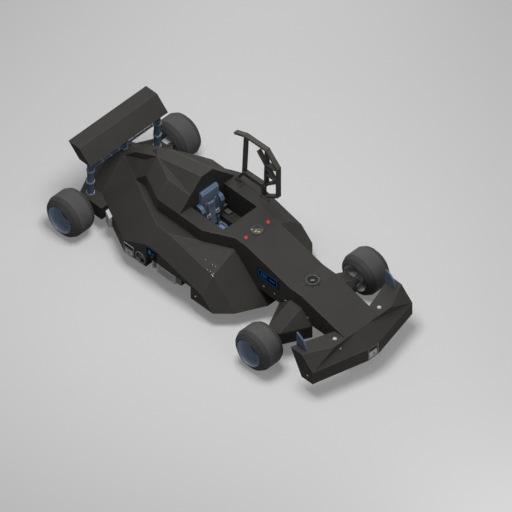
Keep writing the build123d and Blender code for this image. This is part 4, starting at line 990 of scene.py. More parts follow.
def makeDial():
    centre, up = np.array(deckFittings["dial"]), (0, 0, 1)
    r, h = deckFittings["dialRadius"], deckFittings["dialHeight"]
    right, ahead = np.array((1, -1, 0)) / math.sqrt(2), np.array((1, 1, 0)) / math.sqrt(2)
    place = (centre, right, ahead, up)
    ring = inFrom(r, [(-0.001, 0), (h - 0.002, 0), (h, 0.002), (h, 0.010), (h - 0.002, 0.012),
                      (-0.001, 0.012)])
    shapes = [turned(ring, centre, up, "dialRing", 48, closed=True)]
    # The plate is light, and the far third of it is black: the shade and the lit side of a bowl, painted on a
    # flat plate
    start, middle, end = deckFittings["paintedShadeArc"]
    shapes.append(slab(arcPoints(r - 0.011, start, middle, 21), 0.0085, place, "black"))
    shapes.append(slab(arcPoints(r - 0.011, middle, end, 33), 0.0080, place, "greyPlate"))
    # Marks: two yellow bars, a white dot, and a scale of fine ticks along the dark half
    for x, y, long, wide, turn in deckFittings["bars"]:
        c, s = math.cos(math.radians(turn)), math.sin(math.radians(turn))
        at = (centre + right * x + ahead * y, right * c + ahead * s, ahead * c - right * s, up)
        shapes.append(block((-long, -wide, 0.009), (long, wide, 0.013), 0.002, "yellow", 2, at))
    shapes.append(dome(centre - right * 0.083 + (0, 0, h - 0.001), up, 0.011, 0.004, "pale"))
    radius, gap = deckFittings["ticks"]
    for angle in range(gap, 180, gap):
        way = right * math.cos(math.radians(angle)) + ahead * math.sin(math.radians(angle))
        shapes.append(block((-0.008, -0.0012, 0.0075), (0.008, 0.0012, 0.0092), 0.0006, "grey", 1,
                            placeAt(centre + way * radius, up, way)))
    # The hand and its boss
    shapes.append(block((-0.034, -0.0018, 0.0085), (0.012, 0.0018, 0.0125), 0.0012, "pale", 2,
                        placeAt(centre + ahead * 0.004, up, right * 0.9 + ahead * 0.5)))
    shapes.append(dome(centre + (0, 0, 0.010), up, 0.008, 0.005, "steel"))
    addPiece("deckDial", shapes, "chassis", ["deck_dial"], 28)


def makeRedLamps():
    at, up = np.array(deckFittings["red"]), (0, 0, 1)
    r, h = deckFittings["redRadius"], deckFittings["redHeight"]
    foot = inFrom(r, [(-0.001, 0), (0.005, 0), (0.007, 0.002), (0.007, 0.005)])
    body = inFrom(r, [(0.006, 0.004), (h - 0.008, 0.004), (h - 0.003, 0.007), (h, 0.012), (h, r)])
    lamp = [turned(foot, at, up, "steel", 32), turned(body, at, up, "red", 32)]
    addPiece("redLamps", bothSides(lamp), "chassis", ["red_lamps"], 40)


def makeDeckStuds():
    shapes = [dome(at, (0, 0, 1), 0.015, 0.005, "dark") for at in deckFittings["studs"]]
    addPiece("deckStuds", shapes, "chassis")


makeDial()
makeRedLamps()
makeDeckStuds()
print("nose and deck fittings made")

# Flanks: panels, duct rings, lamp cells, coolers, tanks; all worked out for the right side and mirrored
flank = {
    "sidePanel": (-0.375, -1.0, 0.875, 0.48, 0.23),       # x, y, z of the middle, length, height
    "podPanel": (-1.125, 0.875, 0.625, 0.23, 0.23),
    "panelProud": 0.012,
    "outline": 0.011,          # width of the wide panel's blue outline
    "outlineInset": 0.03,
    "wideMarks": [             # low corner, high corner, finish
        ((-0.15, -0.035), (-0.12, 0.035), "blue"), ((-0.10, -0.035), (-0.07, 0.035), "blue"),
        ((-0.05, -0.035), (-0.02, 0.035), "blue"), ((0.03, -0.012), (0.16, 0.012), "blueLine"),
    ],
    "smallMarks": [
        ((-0.065, -0.02), (-0.005, 0.06), "blue"), ((0.02, 0.01), (0.06, 0.03), "blue"),
        ((0.0, -0.055), (0.035, -0.035), "blueLine"),
    ],
    "duct": (-1.125, 1.125, 0.375),
    "ductRadius": 0.115,
    "ductRing": [              # offset, and how far in from the duct's radius
        (-0.001, 0), (0.012, 0), (0.018, 0.003), (0.020, 0.008), (0.019, 0.013), (0.012, 0.019),
        (0.006, 0.024), (-0.001, 0.024),
    ],
    "fanHub": [(0.001, 0.024), (0.010, 0.024), (0.013, 0.020), (0.013, 0)],
    "blades": 14,
    "guards": (0.045, 0.068),
    "cell": (-1.145, 1.375, 0.375),
    "cellDepth": 0.0195,
    "cooler": (-1.135, 0.55, 0.4025),
    "coolerSize": (0.40, 0.195),
    "coolerInner": 0.235,
    "coolerSink": 0.024,
    "coolerRim": 0.014,
    "finPitch": 0.0062,
    "tubes": 8,
    "pipe": [(-0.001, 0.016), (0.016, 0.016), (0.018, 0.018), (0.026, 0.018), (0.028, 0.014), (0.028, 0)],
    "service": [               # front, rear, low, high
        (0.220, 0.340, 0.355, 0.480), (0.760, 0.845, 0.360, 0.480),
    ],
    "serviceFoot": -0.875,
    "serviceReach": 0.244,
    "plug": [(-0.001, 0.012), (0.010, 0.012), (0.012, 0.010), (0.020, 0.009), (0.020, 0)],
    "clips": [                 # light clips low on the tub and nose: along the car, height
        (-0.90, 0.632), (-1.143, 0.633), (-1.39, 0.650), (-1.886, 0.618),
    ],
}


def facing(at):
    # A place on the right flank: x towards the nose, y up, z outwards
    x, y, z = np.array([(0.0, -1.0, 0.0), (0.0, 0.0, 1.0), (-1.0, 0.0, 0.0)])
    return (np.array(at, float), x, y, z)


def centred(length, height, low, high, inset=0.0):
    # The two corners of a block about the middle of a face
    x, y = length / 2 - inset, height / 2 - inset
    return (-x, -y, low), (x, y, high)


def raised(place, lift):
    return (place[0] + place[3] * lift, *place[1:])


def panelShapes(x, y, z, length, height, outline, marks):
    # A black plate with a raised lip, a blue outline of the given width inside it, and plain marks
    place, proud = facing((x, y, z)), flank["panelProud"]
    shapes = [block(*centred(length, height, -0.002, proud - 0.003), 0.003, "panel", 2, place),
              rectangleRim(raised(place, proud - 0.004), length, height, 0.008, 0.004, "black", 0.004)]
    if outline:
        inset = 2 * flank["outlineInset"]
        shapes.append(rectangleRim(raised(place, proud - 0.0035), length - inset, height - inset, outline,
                                   0.0022, "blueLine", 0.010))
    for low, high, finish in marks:
        shapes.append(block((*low, proud - 0.004), (*high, proud - 0.001), 0.001, finish, 1, place))
    return shapes + cornerScrews(place, (length / 2 - 0.013, height / 2 - 0.013), proud - 0.004, 0.0035)


def makePanels():
    wide = panelShapes(*flank["sidePanel"], flank["outline"], flank["wideMarks"])
    small = panelShapes(*flank["podPanel"], 0, flank["smallMarks"])
    addPiece("sidePanels", bothSides(wide + small), "chassis", ["side_panels"])


def makeDucts():
    centre, r = np.array(flank["duct"]), flank["ductRadius"]
    out = np.array((-1.0, 0.0, 0.0))
    # The plate behind the ring is near black: painted shade of the duct's depth behind the fan
    plate = [(-0.001, r - 0.023), (0.002, r - 0.023), (0.002, 0)]
    shapes = [turned(inFrom(r, flank["ductRing"]), centre, out, "grey", 64, closed=True),
              turned(plate, centre, out, "dark", 48)]
    # A fan behind the ring: blades that lie slanted, a hub, and two guard rings
    slant = (centre + out * 0.005, (-0.6, 0.8, 0.0), (0.0, 0.0, 1.0), (0.8, 0.6, 0.0))
    blade = block((-0.004, 0.022, -0.001), (0.004, r - 0.026, 0.001), 0.0008, "black", 1, slant)
    shapes.append(around(blade, centre, out, flank["blades"]))
    shapes.append(turned(flank["fanHub"], centre, out, "black", 32))
    for radius in flank["guards"]:
        wire = inFrom(radius, [(0.010, 0), (0.0125, 0.0012), (0.010, 0.0024)])
        shapes.append(turned(wire, centre, out, "steel", 48, closed=True))
    for part in boltHead(centre + (0, 0, r - 0.012) + out * 0.018, out, 0.0035, "steel"):
        shapes.append(around(part, centre, out, 6))
    addPiece("ductRings", bothSides(shapes), "chassis", ["duct_rings"])


def makeCells():
    cell = lampCell(facing(flank["cell"]), flank["cellDepth"])
    addPiece("flankLamps", bothSides(cell), "chassis", ["flank_lamps"])


def serviceBox(front, rear, low, high):
    # A body, a lid with its screws, and a plug with a boot
    box = facing((flank["serviceFoot"], (front + rear) / 2, (low + high) / 2))
    length, height, reach = rear - front, high - low, flank["serviceReach"]
    shapes = [block(*centred(length, height, 0, reach - 0.022), 0.006, "black", 3, box),
              block(*centred(length, height, reach - 0.021, reach - 0.004, 0.001), 0.005, "grey", 3, box)]
    shapes += cornerScrews(box, (length / 2 - 0.010, height / 2 - 0.010), reach - 0.0045, 0.0032)
    plugAt = box[0] - box[2] * height / 2 + box[3] * reach * 0.6
    return shapes + [turned(flank["plug"], plugAt, -box[2], "black", 20)]


def makeCoolers():
    # A block with a frame, fins across and tubes along it, a light strip on top and a pipe at each end
    length, height = flank["coolerSize"]
    sink, deep, rim = flank["coolerSink"], flank["coolerInner"], flank["coolerRim"]
    place = facing(flank["cooler"])
    x, y = length / 2, height / 2
    shapes = [block(*centred(length, height, -deep, -sink), 0.006, "core", 2, place),
              rectangleRim(raised(place, -sink), length, height, rim, sink, "core", 0.004),
              block((-x + 0.001, y - 0.003, -deep * 0.5), (x - 0.001, y, 0), 0.0012, "pale", 1, place)]
    count = int((length - 2 * rim) / flank["finPitch"])
    fin = block((-0.0009, -y + rim, -sink), (0.0009, y - rim, -0.004), 0.0004, "core", 1, place)
    steps = (np.arange(count) - (count - 1) / 2) * flank["finPitch"]
    shapes.append(repeated(fin, steps[:, None] * place[1]))
    tube = block((-x + rim, -0.0016, -sink), (x - rim, 0.0016, -0.006), 0.0006, "alloy", 1, place)
    reach = y - rim - 0.016
    levels = np.linspace(-reach, reach, flank["tubes"])
    shapes.append(repeated(tube, levels[:, None] * place[2]))
    for side in (-1, 1):
        at = place[0] + place[1] * side * (x - 0.03) - place[3] * 0.09 - place[2] * y
        shapes.append(turned(flank["pipe"], at, -place[2], "steel", 24))
    for row in flank["service"]:
        shapes += serviceBox(*row)
    addPiece("sideCoolers", bothSides(shapes), "chassis", ["coolers"])


tanks = {
    "plan": [(-0.8675, 2.015), (-0.7825, 2.185), (-0.8525, 2.185), (-0.9375, 2.015)],
    "low": 0.25,
    "high": 0.48,
    "lid": 0.008,
    "beads": (0.30, 0.36, 0.42),
    "bottle": (-1.069, 0.88, 0.285),
    "bottleRadius": 0.028,
    "bottleLength": 0.215,
    "cap": [(0.865, 0.62), (0.98, 0.62), (0.995, 0.5), (0.995, 0)],      # shares of length and radius
    "strap": [(0.30, 0.0002), (0.31, 0.0015), (0.38, 0.0015), (0.39, 0.0002)],   # share of length, how proud
}


def makeTanks():
    plan = np.array(tanks["plan"])
    middle = plan.mean(0)
    low, high, lid = tanks["low"], tanks["high"], tanks["lid"]
    # Layers: foot, thickness, share of the plan, finish
    layers = [(low, high - lid - low, 0.94, "core"), (high - lid, lid, 1.0, "pale"),
              (low, 0.006, 1.0, "core")]
    layers += [(level, 0.005, 0.96, "core") for level in tanks["beads"]]
    shapes = [slab(middle + (plan - middle) * share, thick, placeAt((0, 0, level)), finish)
              for level, thick, share, finish in layers]
    addPiece("catchTanks", bothSides(shapes), "chassis", ["catch_tanks"], 32, 0.0016)
    at, r, length = np.array(tanks["bottle"]), tanks["bottleRadius"], tanks["bottleLength"]
    body = [(0, r - 0.004), (0.004, r), (length * 0.72, r), (length * 0.80, r - 0.004),
            (length * 0.84, r * 0.55), (length * 0.87, r * 0.5)]
    cap = np.array(tanks["cap"]) * (length, r)
    strap = np.array(tanks["strap"]) * (length, 1) + (0, r)
    bottle = [turned(body, at, (0, 0, 1), "pale", 32), turned(cap, at, (0, 0, 1), "blue", 28),
              turned(strap, at, (0, 0, 1), "steel", 32)]
    addPiece("sideBottles", bothSides(bottle), "chassis")


def makeClips():
    shapes = []
    for y, z in flank["clips"]:
        place = facing((-0.375, y, z))
        shapes.append(block((-0.020, -0.009, -0.001), (0.020, 0.009, 0.006), 0.002, "alloy", 2, place))
        shapes.append(dome(place[0] + place[1] * 0.011 + place[3] * 0.005, place[3], 0.007, 0.004, "bright"))
    addPiece("tubClips", bothSides(shapes), "chassis")


makePanels()
makeDucts()
makeCells()
makeCoolers()
makeTanks()
makeClips()
print("flanks fitted")

# Rear wing posts: octagon tubes in steps, with a collar at each joint
posts = {
    "places": [                # across, foot
        (-0.75, 0.50), (0.0, 1.0), (0.75, 0.50),
    ],
    "along": 2.625,
    "top": 1.25,
    "radius": 0.055,
    "collar": 0.068,
    "collarHeight": 0.026,
    "pitch": 0.25,
    "tube": (1.125, 0.028, 0.75),          # height, radius, reach each side
    "tubeClips": (-0.69, -0.06, 0.06, 0.69),
    "line": (1.140, 0.018, 0.75, 0.074),   # the same for a hose before the posts, and how far ahead it runs
    "lineClips": 7,
}


def octagon(inner, turn=0.5):
    # A regular outline by the radius of its flats
    angle = (np.arange(8) + turn) * math.pi / 4
    return np.stack([np.cos(angle), np.sin(angle)], -1) * inner / math.cos(math.pi / 8)


def crossPiece(middle, length, ahead, level, radius, finish):
    # An octagon piece that lies across the car, by its middle
    place = placeAt((middle - length / 2, posts["along"] - ahead, level), (1, 0, 0), (0, 1, 0))
    return slab(octagon(radius, 0), length, place, finish)


def makePosts():
    shapes = []
    collar, high = posts["collar"], posts["collarHeight"]
    for across, foot in posts["places"]:
        shapes.append(slab(octagon(posts["radius"]), posts["top"] - foot - 0.001,
                           placeAt((across, posts["along"], foot)), "trim"))
        for step in range(int((posts["top"] - foot) / posts["pitch"] + 0.001) + 1):
            base = min(foot + step * posts["pitch"], posts["top"] - high)
            at = np.array((across, posts["along"], base))
            shapes.append(slab(octagon(collar), high, placeAt(at), "collar"))
            for part in boltHead(at + (collar - 0.0005, 0, high / 2), (1, 0, 0), 0.0042, "bright"):
                shapes.append(around(part, at, (0, 0, 1), 8))
    level, radius, reach = posts["tube"]
    shapes.append(crossPiece(0, 2 * reach, 0, level, radius * math.cos(math.pi / 8), "steel"))
    shapes += [crossPiece(across, 0.018, 0, level, radius + 0.006, "collar") for across in posts["tubeClips"]]
    level, radius, reach, ahead = posts["line"]
    shapes.append(crossPiece(0, 2 * reach, ahead, level, radius, "trim"))
    for across in np.linspace(-reach, reach, posts["lineClips"] + 2)[1:-1]:
        shapes.append(crossPiece(across, 0.022, ahead, level, radius + 0.005, "collar"))
    addPiece("wingPosts", shapes, "chassis", ["wing_posts"], 30, 0.0022)


makePosts()
print("wing posts made")

# Fasteners in rows along the panels' joints, and the light studs on the pods' front slopes
fasteners = {
    "radius": 0.0085,
    "height": 0.0028,
    "slot": [(0.0018, 0.0035), (0.0031, 0.0035), (0.0031, 0)],
    "rows": [                  # first, last, count, the surface's normal; right side, mirrored
        ((-0.345, -1.785, 0.976), (-0.345, -2.69, 0.750), 6, (0, -0.243, 0.970)),
        ((-0.345, -1.46, 1.0115), (-0.345, -0.56, 1.2365), 6, (0, -0.243, 0.970)),
        ((-0.345, -1.715, 1.0), (-0.12, -1.715, 1.0), 3, (0, 0, 1)),
        ((-0.595, 0.30, 1.25), (-0.595, 0.70, 1.25), 4, (0, 0, 1)),
        ((-0.42, -0.18, 1.25), (-0.56, 0.10, 1.25), 3, (0, 0, 1)),
        ((-0.375, -0.40, 0.54), (-0.375, -0.72, 0.54), 3, (-1, 0, 0)),
        ((-0.60, -2.46, 0.75), (-1.05, -2.46, 0.75), 1, (0, 0, 1)),
        ((-1.0, 0.05, 0.25), (-0.45, 0.05, 0.25), 5, (0, 0, -1)),
        ((-0.45, 0.4, 0.25), (-0.45, 2.3, 0.25), 8, (0, 0, -1)),
    ],
    "podStuds": [              # near side only
        (-0.775, 0.011, 0.865), (-0.757, -0.129, 0.839), (-0.748, -0.187, 0.829), (-0.859, -0.118, 0.791),
        (-0.850, -0.176, 0.781), (-0.841, -0.235, 0.771),
    ],
    "podNormal": (-0.44, -0.22, 0.87),
    "podBar": (-0.872, -0.243, 0.753),
    "sideStuds": [             # place, way out, radius; mirrored
        ((-1.125, -0.114, 0.368), (-1, 0, 0), 0.018), ((-1.125, -2.636, 0.372), (-1, 0, 0), 0.018),
    ],
    "lipStud": ((-0.511, -2.765, 0.638), (-0.17, -0.70, 0.70), 0.014),
}


def makeFasteners():
    shapes = []
    for first, last, count, normal in fasteners["rows"]:
        share = np.linspace(0, 1, count)[:, None]
        places = np.array(first) * (1 - share) + np.array(last) * share
        head = disc(np.zeros(3), normal, fasteners["radius"], fasteners["height"], "bodyWorn", 16)
        # Each slot is a thin near-black hexagon on the head: painted shade in place of a cut slot
        slot = turned(fasteners["slot"], np.zeros(3), normal, "dark", 6)
        shapes += [repeated(head, places), repeated(slot, places)]
    addPiece("bodyFasteners", bothSides(shapes), "chassis")
    normal = fasteners["podNormal"]
    studs = [dome(at, normal, 0.0085, 0.005, "alloy") for at in fasteners["podStuds"]]
    studs.append(block((-0.030, -0.006, -0.001), (0.030, 0.006, 0.005), 0.002, "alloy", 2,
                       placeAt(fasteners["podBar"], normal, (-0.3, -1, -0.2))))
    addPiece("podStuds", studs, "chassis")
    studs = []
    for at, way, radius in fasteners["sideStuds"]:
        way = unit(way)
        studs.append(dome(np.array(at) - way * 0.001, way, radius, 0.007, "alloy"))
        studs += boltHead(np.array(at) + way * 0.0055, way, radius * 0.35, "bright")
    at, way, radius = fasteners["lipStud"]
    lone = dome(np.array(at) - np.array(way) * 0.001, np.array(way), radius, 0.006, "alloy")
    addPiece("sideStuds", bothSides(studs) + [lone], "chassis")


makeFasteners()
print("fasteners set")

# Seat: the shell is a bevelled skin above; here are its headrest, pads, belts and fittings
seat = {
    "headrest": [              # along the car, height: the side view of the headrest
        (0.7495, 1.186), (0.7495, 1.424), (0.702, 1.424), (0.686, 1.391), (0.671, 1.391), (0.676, 1.186),
    ],
    "headHalf": 0.1845,
    "cords": [(0.7035, 1.423), (0.6855, 1.3925), (0.6735, 1.390)],       # along the car, height
    "stitchRows": [(0.7125, 1.4239), (0.6785, 1.3911)],
    "holeRow": (0.6785, 1.3915),
    "stitches": 24,
    "panelLines": (-0.075, 0.075),
    "panLow": (-0.135, 0.435, 0.6235),
    "panHigh": (0.135, 0.607, 0.650),
    "backLow": (0.6195, 0.678),                # along the car and height, on the shell's face
    "backHigh": (0.6825, 1.169),
    "backHalf": 0.135,
    "backDepth": 0.021,
    "voxel": 0.005,
    "pressure": 4.0,
    "frames": 20,
    "cap": 0.006,              # the furthest that a point of the cloth may move
    "fill": 0.7,
    "panChannels": [0.478, 0.521, 0.564],
    "backChannels": [0.76, 0.84, 0.92, 1.00, 1.08],
    "channelDepth": 0.0045,
    "channelWidth": 0.006,
    "slot": (0.095, 0.668, 1.1905),            # a belt slot's bezel, by its middle
    "wing": [                  # piping on a shoulder wing: across, along the car, height
        (0.212, 0.640, 1.100), (0.212, 0.6415, 1.163), (0.212, 0.6865, 1.1865),
    ],
    "bolster": 0.158,
    "pins": (0.47, 0.56),
    "step": (0, 0.650, 1.132),
}


def cord(path, axis, width, round_):
    # A thin round cord along a path
    return carried(roundedSection(width, width, round_, 2), path, axis, "seatEdge")


def rowOf(x, y, z):
    # Points from three values, each a number or a row of numbers
    return np.stack(np.broadcast_arrays(x, y, z), -1).astype(float)


def makeHeadrest():
    outline = eased(np.array(seat["headrest"] + seat["headrest"][:1]), 0.010, 4)[:-1]
    half = seat["headHalf"]
    shapes = [slab(outline, 2 * half, ((-half, 0, 0), (0, 1, 0), (0, 0, 1), (1, 0, 0)), "headrest")]
    # Seams: a cord along each step, stitches beside it, near-black marks between the stitches of one row as
    # painted shade of their holes, and two panel lines down the front
    across = np.linspace(-half + 0.012, half - 0.012, 24)
    shapes += [cord(rowOf(across, y, z), (0, 1, 0), 0.004, 0.0019) for y, z in seat["cords"]]
    stitch = block((-0.0045, -0.0009, -0.0006), (0.0045, 0.0009, 0.0012), 0.0006, "thread", 1)
    hole = block((-0.006, -0.0016, -0.0005), (0.006, 0.0016, 0.0007), 0.0006, "dark", 1)
    steps = np.linspace(-half + 0.022, half - 0.022, seat["stitches"])
    shapes += [repeated(stitch, rowOf(steps, y, z)) for y, z in seat["stitchRows"]]
    shapes.append(repeated(hole, rowOf((steps[1:] + steps[:-1]) / 2, *seat["holeRow"])))
    for x in seat["panelLines"]:
        path = rowOf(x, np.linspace(0.6707, 0.6747, 12), np.linspace(1.380, 1.192, 12))
        shapes.append(cord(path, (1, 0, 0), 0.0035, 0.0016))
    addPiece("headrestCover", shapes, "chassis", ["headrest"], 40, 0.0045)


def remeshed(piece, voxel):
    # The piece's mesh as an even net of quads
    step = piece.modifiers.new("even", "REMESH")
    step.mode = "VOXEL"
    step.voxel_size = voxel
    bpy.context.view_layer.update()
    graph = bpy.context.evaluated_depsgraph_get()
    mesh = bpy.data.meshes.new_from_object(piece.evaluated_get(graph))
    piece.modifiers.clear()
    piece.data = mesh
    return mesh


def inflated(piece):
    # Cloth blown up from inside, each point held within the cap of where it began
    start = readPoints(piece.data)
    cloth = piece.modifiers.new("cloth", "CLOTH")
    cloth.settings.use_pressure = True
    cloth.settings.uniform_pressure_force = seat["pressure"]
    cloth.settings.effector_weights.gravity = 0
    cloth.settings.quality = 6
    cloth.point_cache.frame_end = seat["frames"]
    scene = bpy.context.scene
    for number in range(1, seat["frames"] + 1):
        scene.frame_set(number)
    graph = bpy.context.evaluated_depsgraph_get()
    swollen = bpy.data.meshes.new_from_object(piece.evaluated_get(graph))
    after = readPoints(swollen)
    piece.modifiers.clear()
    bpy.data.meshes.remove(swollen)
    scene.frame_set(1)
    move = after - start
    far = np.linalg.norm(move, axis=1, keepdims=True)
    return start + move * np.minimum(1, seat["cap"] / np.maximum(far, 1e-9))


def channelled(points, along, places, inwards):
    # Sewn channels: each line of stitches draws the cloth in, depth * exp(-(distance / width)^2)
    pull = np.zeros(len(points))
    for place in places:
        pull = np.maximum(pull, np.exp(-((along - place) / seat["channelWidth"]) ** 2))
    return points + (pull * seat["channelDepth"])[:, None] * np.asarray(inwards)


def sewnPad(name, shape, along, places, out, replaced):
    # A cushion of cloth blown up from inside; channels lie across the axis along, on its outer face alone
    pad = addPiece(name, [shape], "chassis", replaced, 180)
    mesh = remeshed(pad, seat["voxel"])
    points, out = inflated(pad), np.asarray(out, float)
    outer = (points - points.mean(0)) @ out > 0
    drawn = channelled(points, points[:, along], places, -out)
    points = np.where(outer[:, None], drawn, points)
    mesh.vertices.foreach_set("co", points.ravel())
    mesh.materials.clear()
    mesh.materials.append(finishes["pad"])
    mesh.shade_smooth()
    mesh.update()
    fine = pad.modifiers.new("fine", "SUBSURF")
    fine.levels = fine.render_levels = 1


def makePads():
    pan = block(seat["panLow"], seat["panHigh"], 0.010, "pad", 4)
    sewnPad("panPad", pan, 1, seat["panChannels"], (0, 0, 1), ["seat_pads"])
    foot, head = np.array(seat["backLow"]), np.array(seat["backHigh"])
    run = head - foot
    length = np.linalg.norm(run)
    up = np.array((0.0, *(run / length)))
    out = np.array((0.0, -up[2], up[1]))
    half, depth = seat["backHalf"], seat["backDepth"]
    back = block((-half, 0, 0.002), (half, length, 0.002 + depth), 0.009, "pad", 4,
                 ((0, *foot), (1, 0, 0), up, out))
    sewnPad("backPad", back, 2, seat["backChannels"], out, [])


belts = {
    "across": 0.095,
    "width": 0.050,
    "thickness": 0.0035,
    "edge": 0.0016,
    "path": [                  # along the car, height: from the slot under the headrest to the lap belt
        (0.684, 1.1835), (0.668, 1.1885), (0.654, 1.176), (0.6435, 1.10), (0.630, 1.02), (0.6145, 0.93),
        (0.5985, 0.84), (0.5815, 0.75), (0.5685, 0.700), (0.5625, 0.672),
    ],
    "tailEnd": 0.79,
    "adjusterAt": 0.935,
    "adjuster": (0.084, 0.070),
    "lean": (0.17, 0.985),     # the back's slope: along the car, up
    "lapHeight": 0.682,
    "lapAlong": 0.5605,
    "lapHalf": 0.138,
    "lapWidth": 0.046,
    "lapBow": 0.006,
    "lapAdjuster": (0.054, 0.054),
    "lapAdjusterAt": 0.103,
    "lock": [(0.003, 0.0215), (0.006, 0.0215), (0.0075, 0.020), (0.0075, 0)],
}


def adjuster(centre, up, out, width, height):
    # A belt adjuster: pressed frame, two bars and a knurled tongue
    place = (np.asarray(centre), np.array((1.0, 0.0, 0.0)), up, out)
    shapes = [rectangleRim(place, width, height, 0.010, 0.006, "buckle", 0.006)]
    half = width / 2 - 0.004
    for level in (-0.22 * height, 0.22 * height):
        low, high = (-half, level - 0.003, 0.0005), (half, level + 0.003, 0.0065)
        shapes.append(block(low, high, 0.0018, "buckle", 2, place))
    shapes.append(block(*centred(width * 0.52, height * 0.28, 0.002, 0.009), 0.002, "black", 2, place))
    ridge = block(*centred(width * 0.44, 0.0018, 0.008, 0.0105), 0.0006, "grey", 1, place)
    shapes.append(repeated(ridge, np.linspace(-0.11, 0.11, 4)[:, None] * height * up))
    return shapes


def makeBelts():
    line = eased(np.array(belts["path"]), 0.02, 4)
    section = roundedSection(belts["width"], belts["thickness"], belts["edge"], 2)
    level = belts["adjusterAt"]
    at = np.interp(level, line[::-1, 1], line[::-1, 0])
    along, rise = belts["lean"]
    up, out = np.array((0.0, along, rise)), np.array((0.0, -rise, along))
    shapes = []
    for side in (-1, 1):
        x = side * belts["across"]
        shapes.append(carried(section, rowOf(x, line[:, 0], line[:, 1]), (1, 0, 0), "webbing"))
        # The free end lies over the belt below the adjuster, with a stitched fold at its tip
        low = line[(line[:, 1] < level - 0.01) & (line[:, 1] > belts["tailEnd"])]
        tail = rowOf(x, low[:, 0] - 0.0045, low[:, 1] + 0.0006)
        shapes.append(carried(section, tail, (1, 0, 0), "webbing"))
        shapes.append(block((-0.021, -0.006, -0.001), (0.021, 0.006, 0.0015), 0.0006, "thread", 1,
                            placeAt(tail[-1] + (0, -0.002, 0), (0, -0.98, 0.18))))
        shapes += adjuster((x, at - 0.0065, level), up, out, *belts["adjuster"])
    # Lap belt: bowed a little forward, with an adjuster at each end and the buckle in its middle
    y, z = belts["lapAlong"], belts["lapHeight"]
    x = np.linspace(-belts["lapHalf"], belts["lapHalf"], 25)
    bow = belts["lapBow"] * (1 - (x / belts["lapHalf"]) ** 2)
    section = roundedSection(belts["lapWidth"], belts["thickness"], belts["edge"], 2)
    shapes.append(carried(section, rowOf(x, y - bow, z), (0, 0, 1), "webbing"))
    ahead, up = np.array((0.0, -1.0, 0.0)), np.array((0.0, 0.0, 1.0))
    for side in (-1, 1):
        shapes += adjuster((side * belts["lapAdjusterAt"], y - 0.0075, z), up, ahead, *belts["lapAdjuster"])
    middle = np.array((0, y - 0.010, z))
    place = placeAt(middle, ahead)
    shapes.append(block((-0.034, -0.024, -0.004), (0.034, 0.024, 0.004), 0.006, "bright", 3, place))
    shapes.append(turned(belts["lock"], middle, ahead, "black", 40))
    # The tab takes the red lens finish, so it glows: painted light on a tab that is no lamp
    shapes.append(block((-0.019, -0.004, 0.006), (0.019, 0.004, 0.0105), 0.002, "red", 3, place))
    shapes.append(dome(middle + ahead * 0.010, ahead, 0.006, 0.002, "steel"))
    addPiece("seatBelts", shapes, "chassis", ["harness"], 32)


def makeSeatFittings():
    # Belt slots with their bezels under the headrest, pins of the seat, and the shell's piping
    shapes = []
    x, y, z = seat["slot"]
    for side in (-1, 1):
        place = placeAt((side * x, y, z), (0, -0.35, 0.94))
        shapes.append(rectangleRim(place, 0.066, 0.016, 0.004, 0.004, "seatEdge", 0.004))
        wing = eased(np.array(seat["wing"]) * (side, 1, 1), 0.02, 4)
        shapes.append(cord(wing, (1, 0, 0), 0.004, 0.0018))
        across = side * seat["bolster"]
        for pin in seat["pins"]:
            shapes += boltHead((across, pin, 0.6555), (0, 0, 1), 0.005, "steel")
        path = rowOf(across + 0.011, np.linspace(0.475, 0.60, 12), 0.6553)
        shapes.append(cord(path, (1, 0, 0), 0.003, 0.0014))
    # A padded step between the belts, high on the back
    shapes.append(block((-0.052, -0.018, 0), (0.052, 0.030, 0.016), 0.006, "headrest", 4,
                        placeAt(seat["step"], (0, -0.97, 0.24))))
    addPiece("seatFittings", shapes, "chassis")


makeHeadrest()
makePads()
makeBelts()
makeSeatFittings()
print("seat made")

# Steering wheel and column
steering = {
    "pivot": (0.0, 0.075, 0.965),
    "tilt": 12.0,
    "ring": 0.112,
    "grip": 0.0112,
    "middle": 0.0188,          # how far the ring stands off the pivot
    "holdArc": 38,             # degrees that a wound grip runs each way
    "plate": (0.196, 0.040, 0.012),            # width, height, corner
    "layers": [                # share of the plate's width and height, thickness, finish
        (1.0, 1.0, 0.010, "panel"), (0.34, 0.7, 0.0125, "black"), (0.26, 0.5, 0.0132, "greyPlate"),
    ],
    "knobs": [                 # across and up on the plate, finish
        (-0.072, 0.008, "blue"), (-0.052, -0.009, "grey"), (-0.078, -0.010, "yellow"),
        (0.072, 0.008, "red"), (0.052, -0.009, "grey"), (0.078, -0.010, "blue"),
    # The red knob takes the red lens finish, so it glows: painted light on a knob that is no lamp
    ],
    "boss": 0.034,
    "bossSection": [(0.0, 0.002), (0.002, 0), (0.010, 0), (0.0125, 0.003), (0.0125, 0.034)],
    "column": 0.026,
    "columnSection": [         # distance before the pivot, and how far in from the column's radius
        (-0.096, 0), (-0.036, 0), (-0.034, 0.002), (-0.022, 0.002), (-0.020, 0), (-0.008, 0),
        (-0.006, 0.002), (-0.006, 0.026),
    ],
}


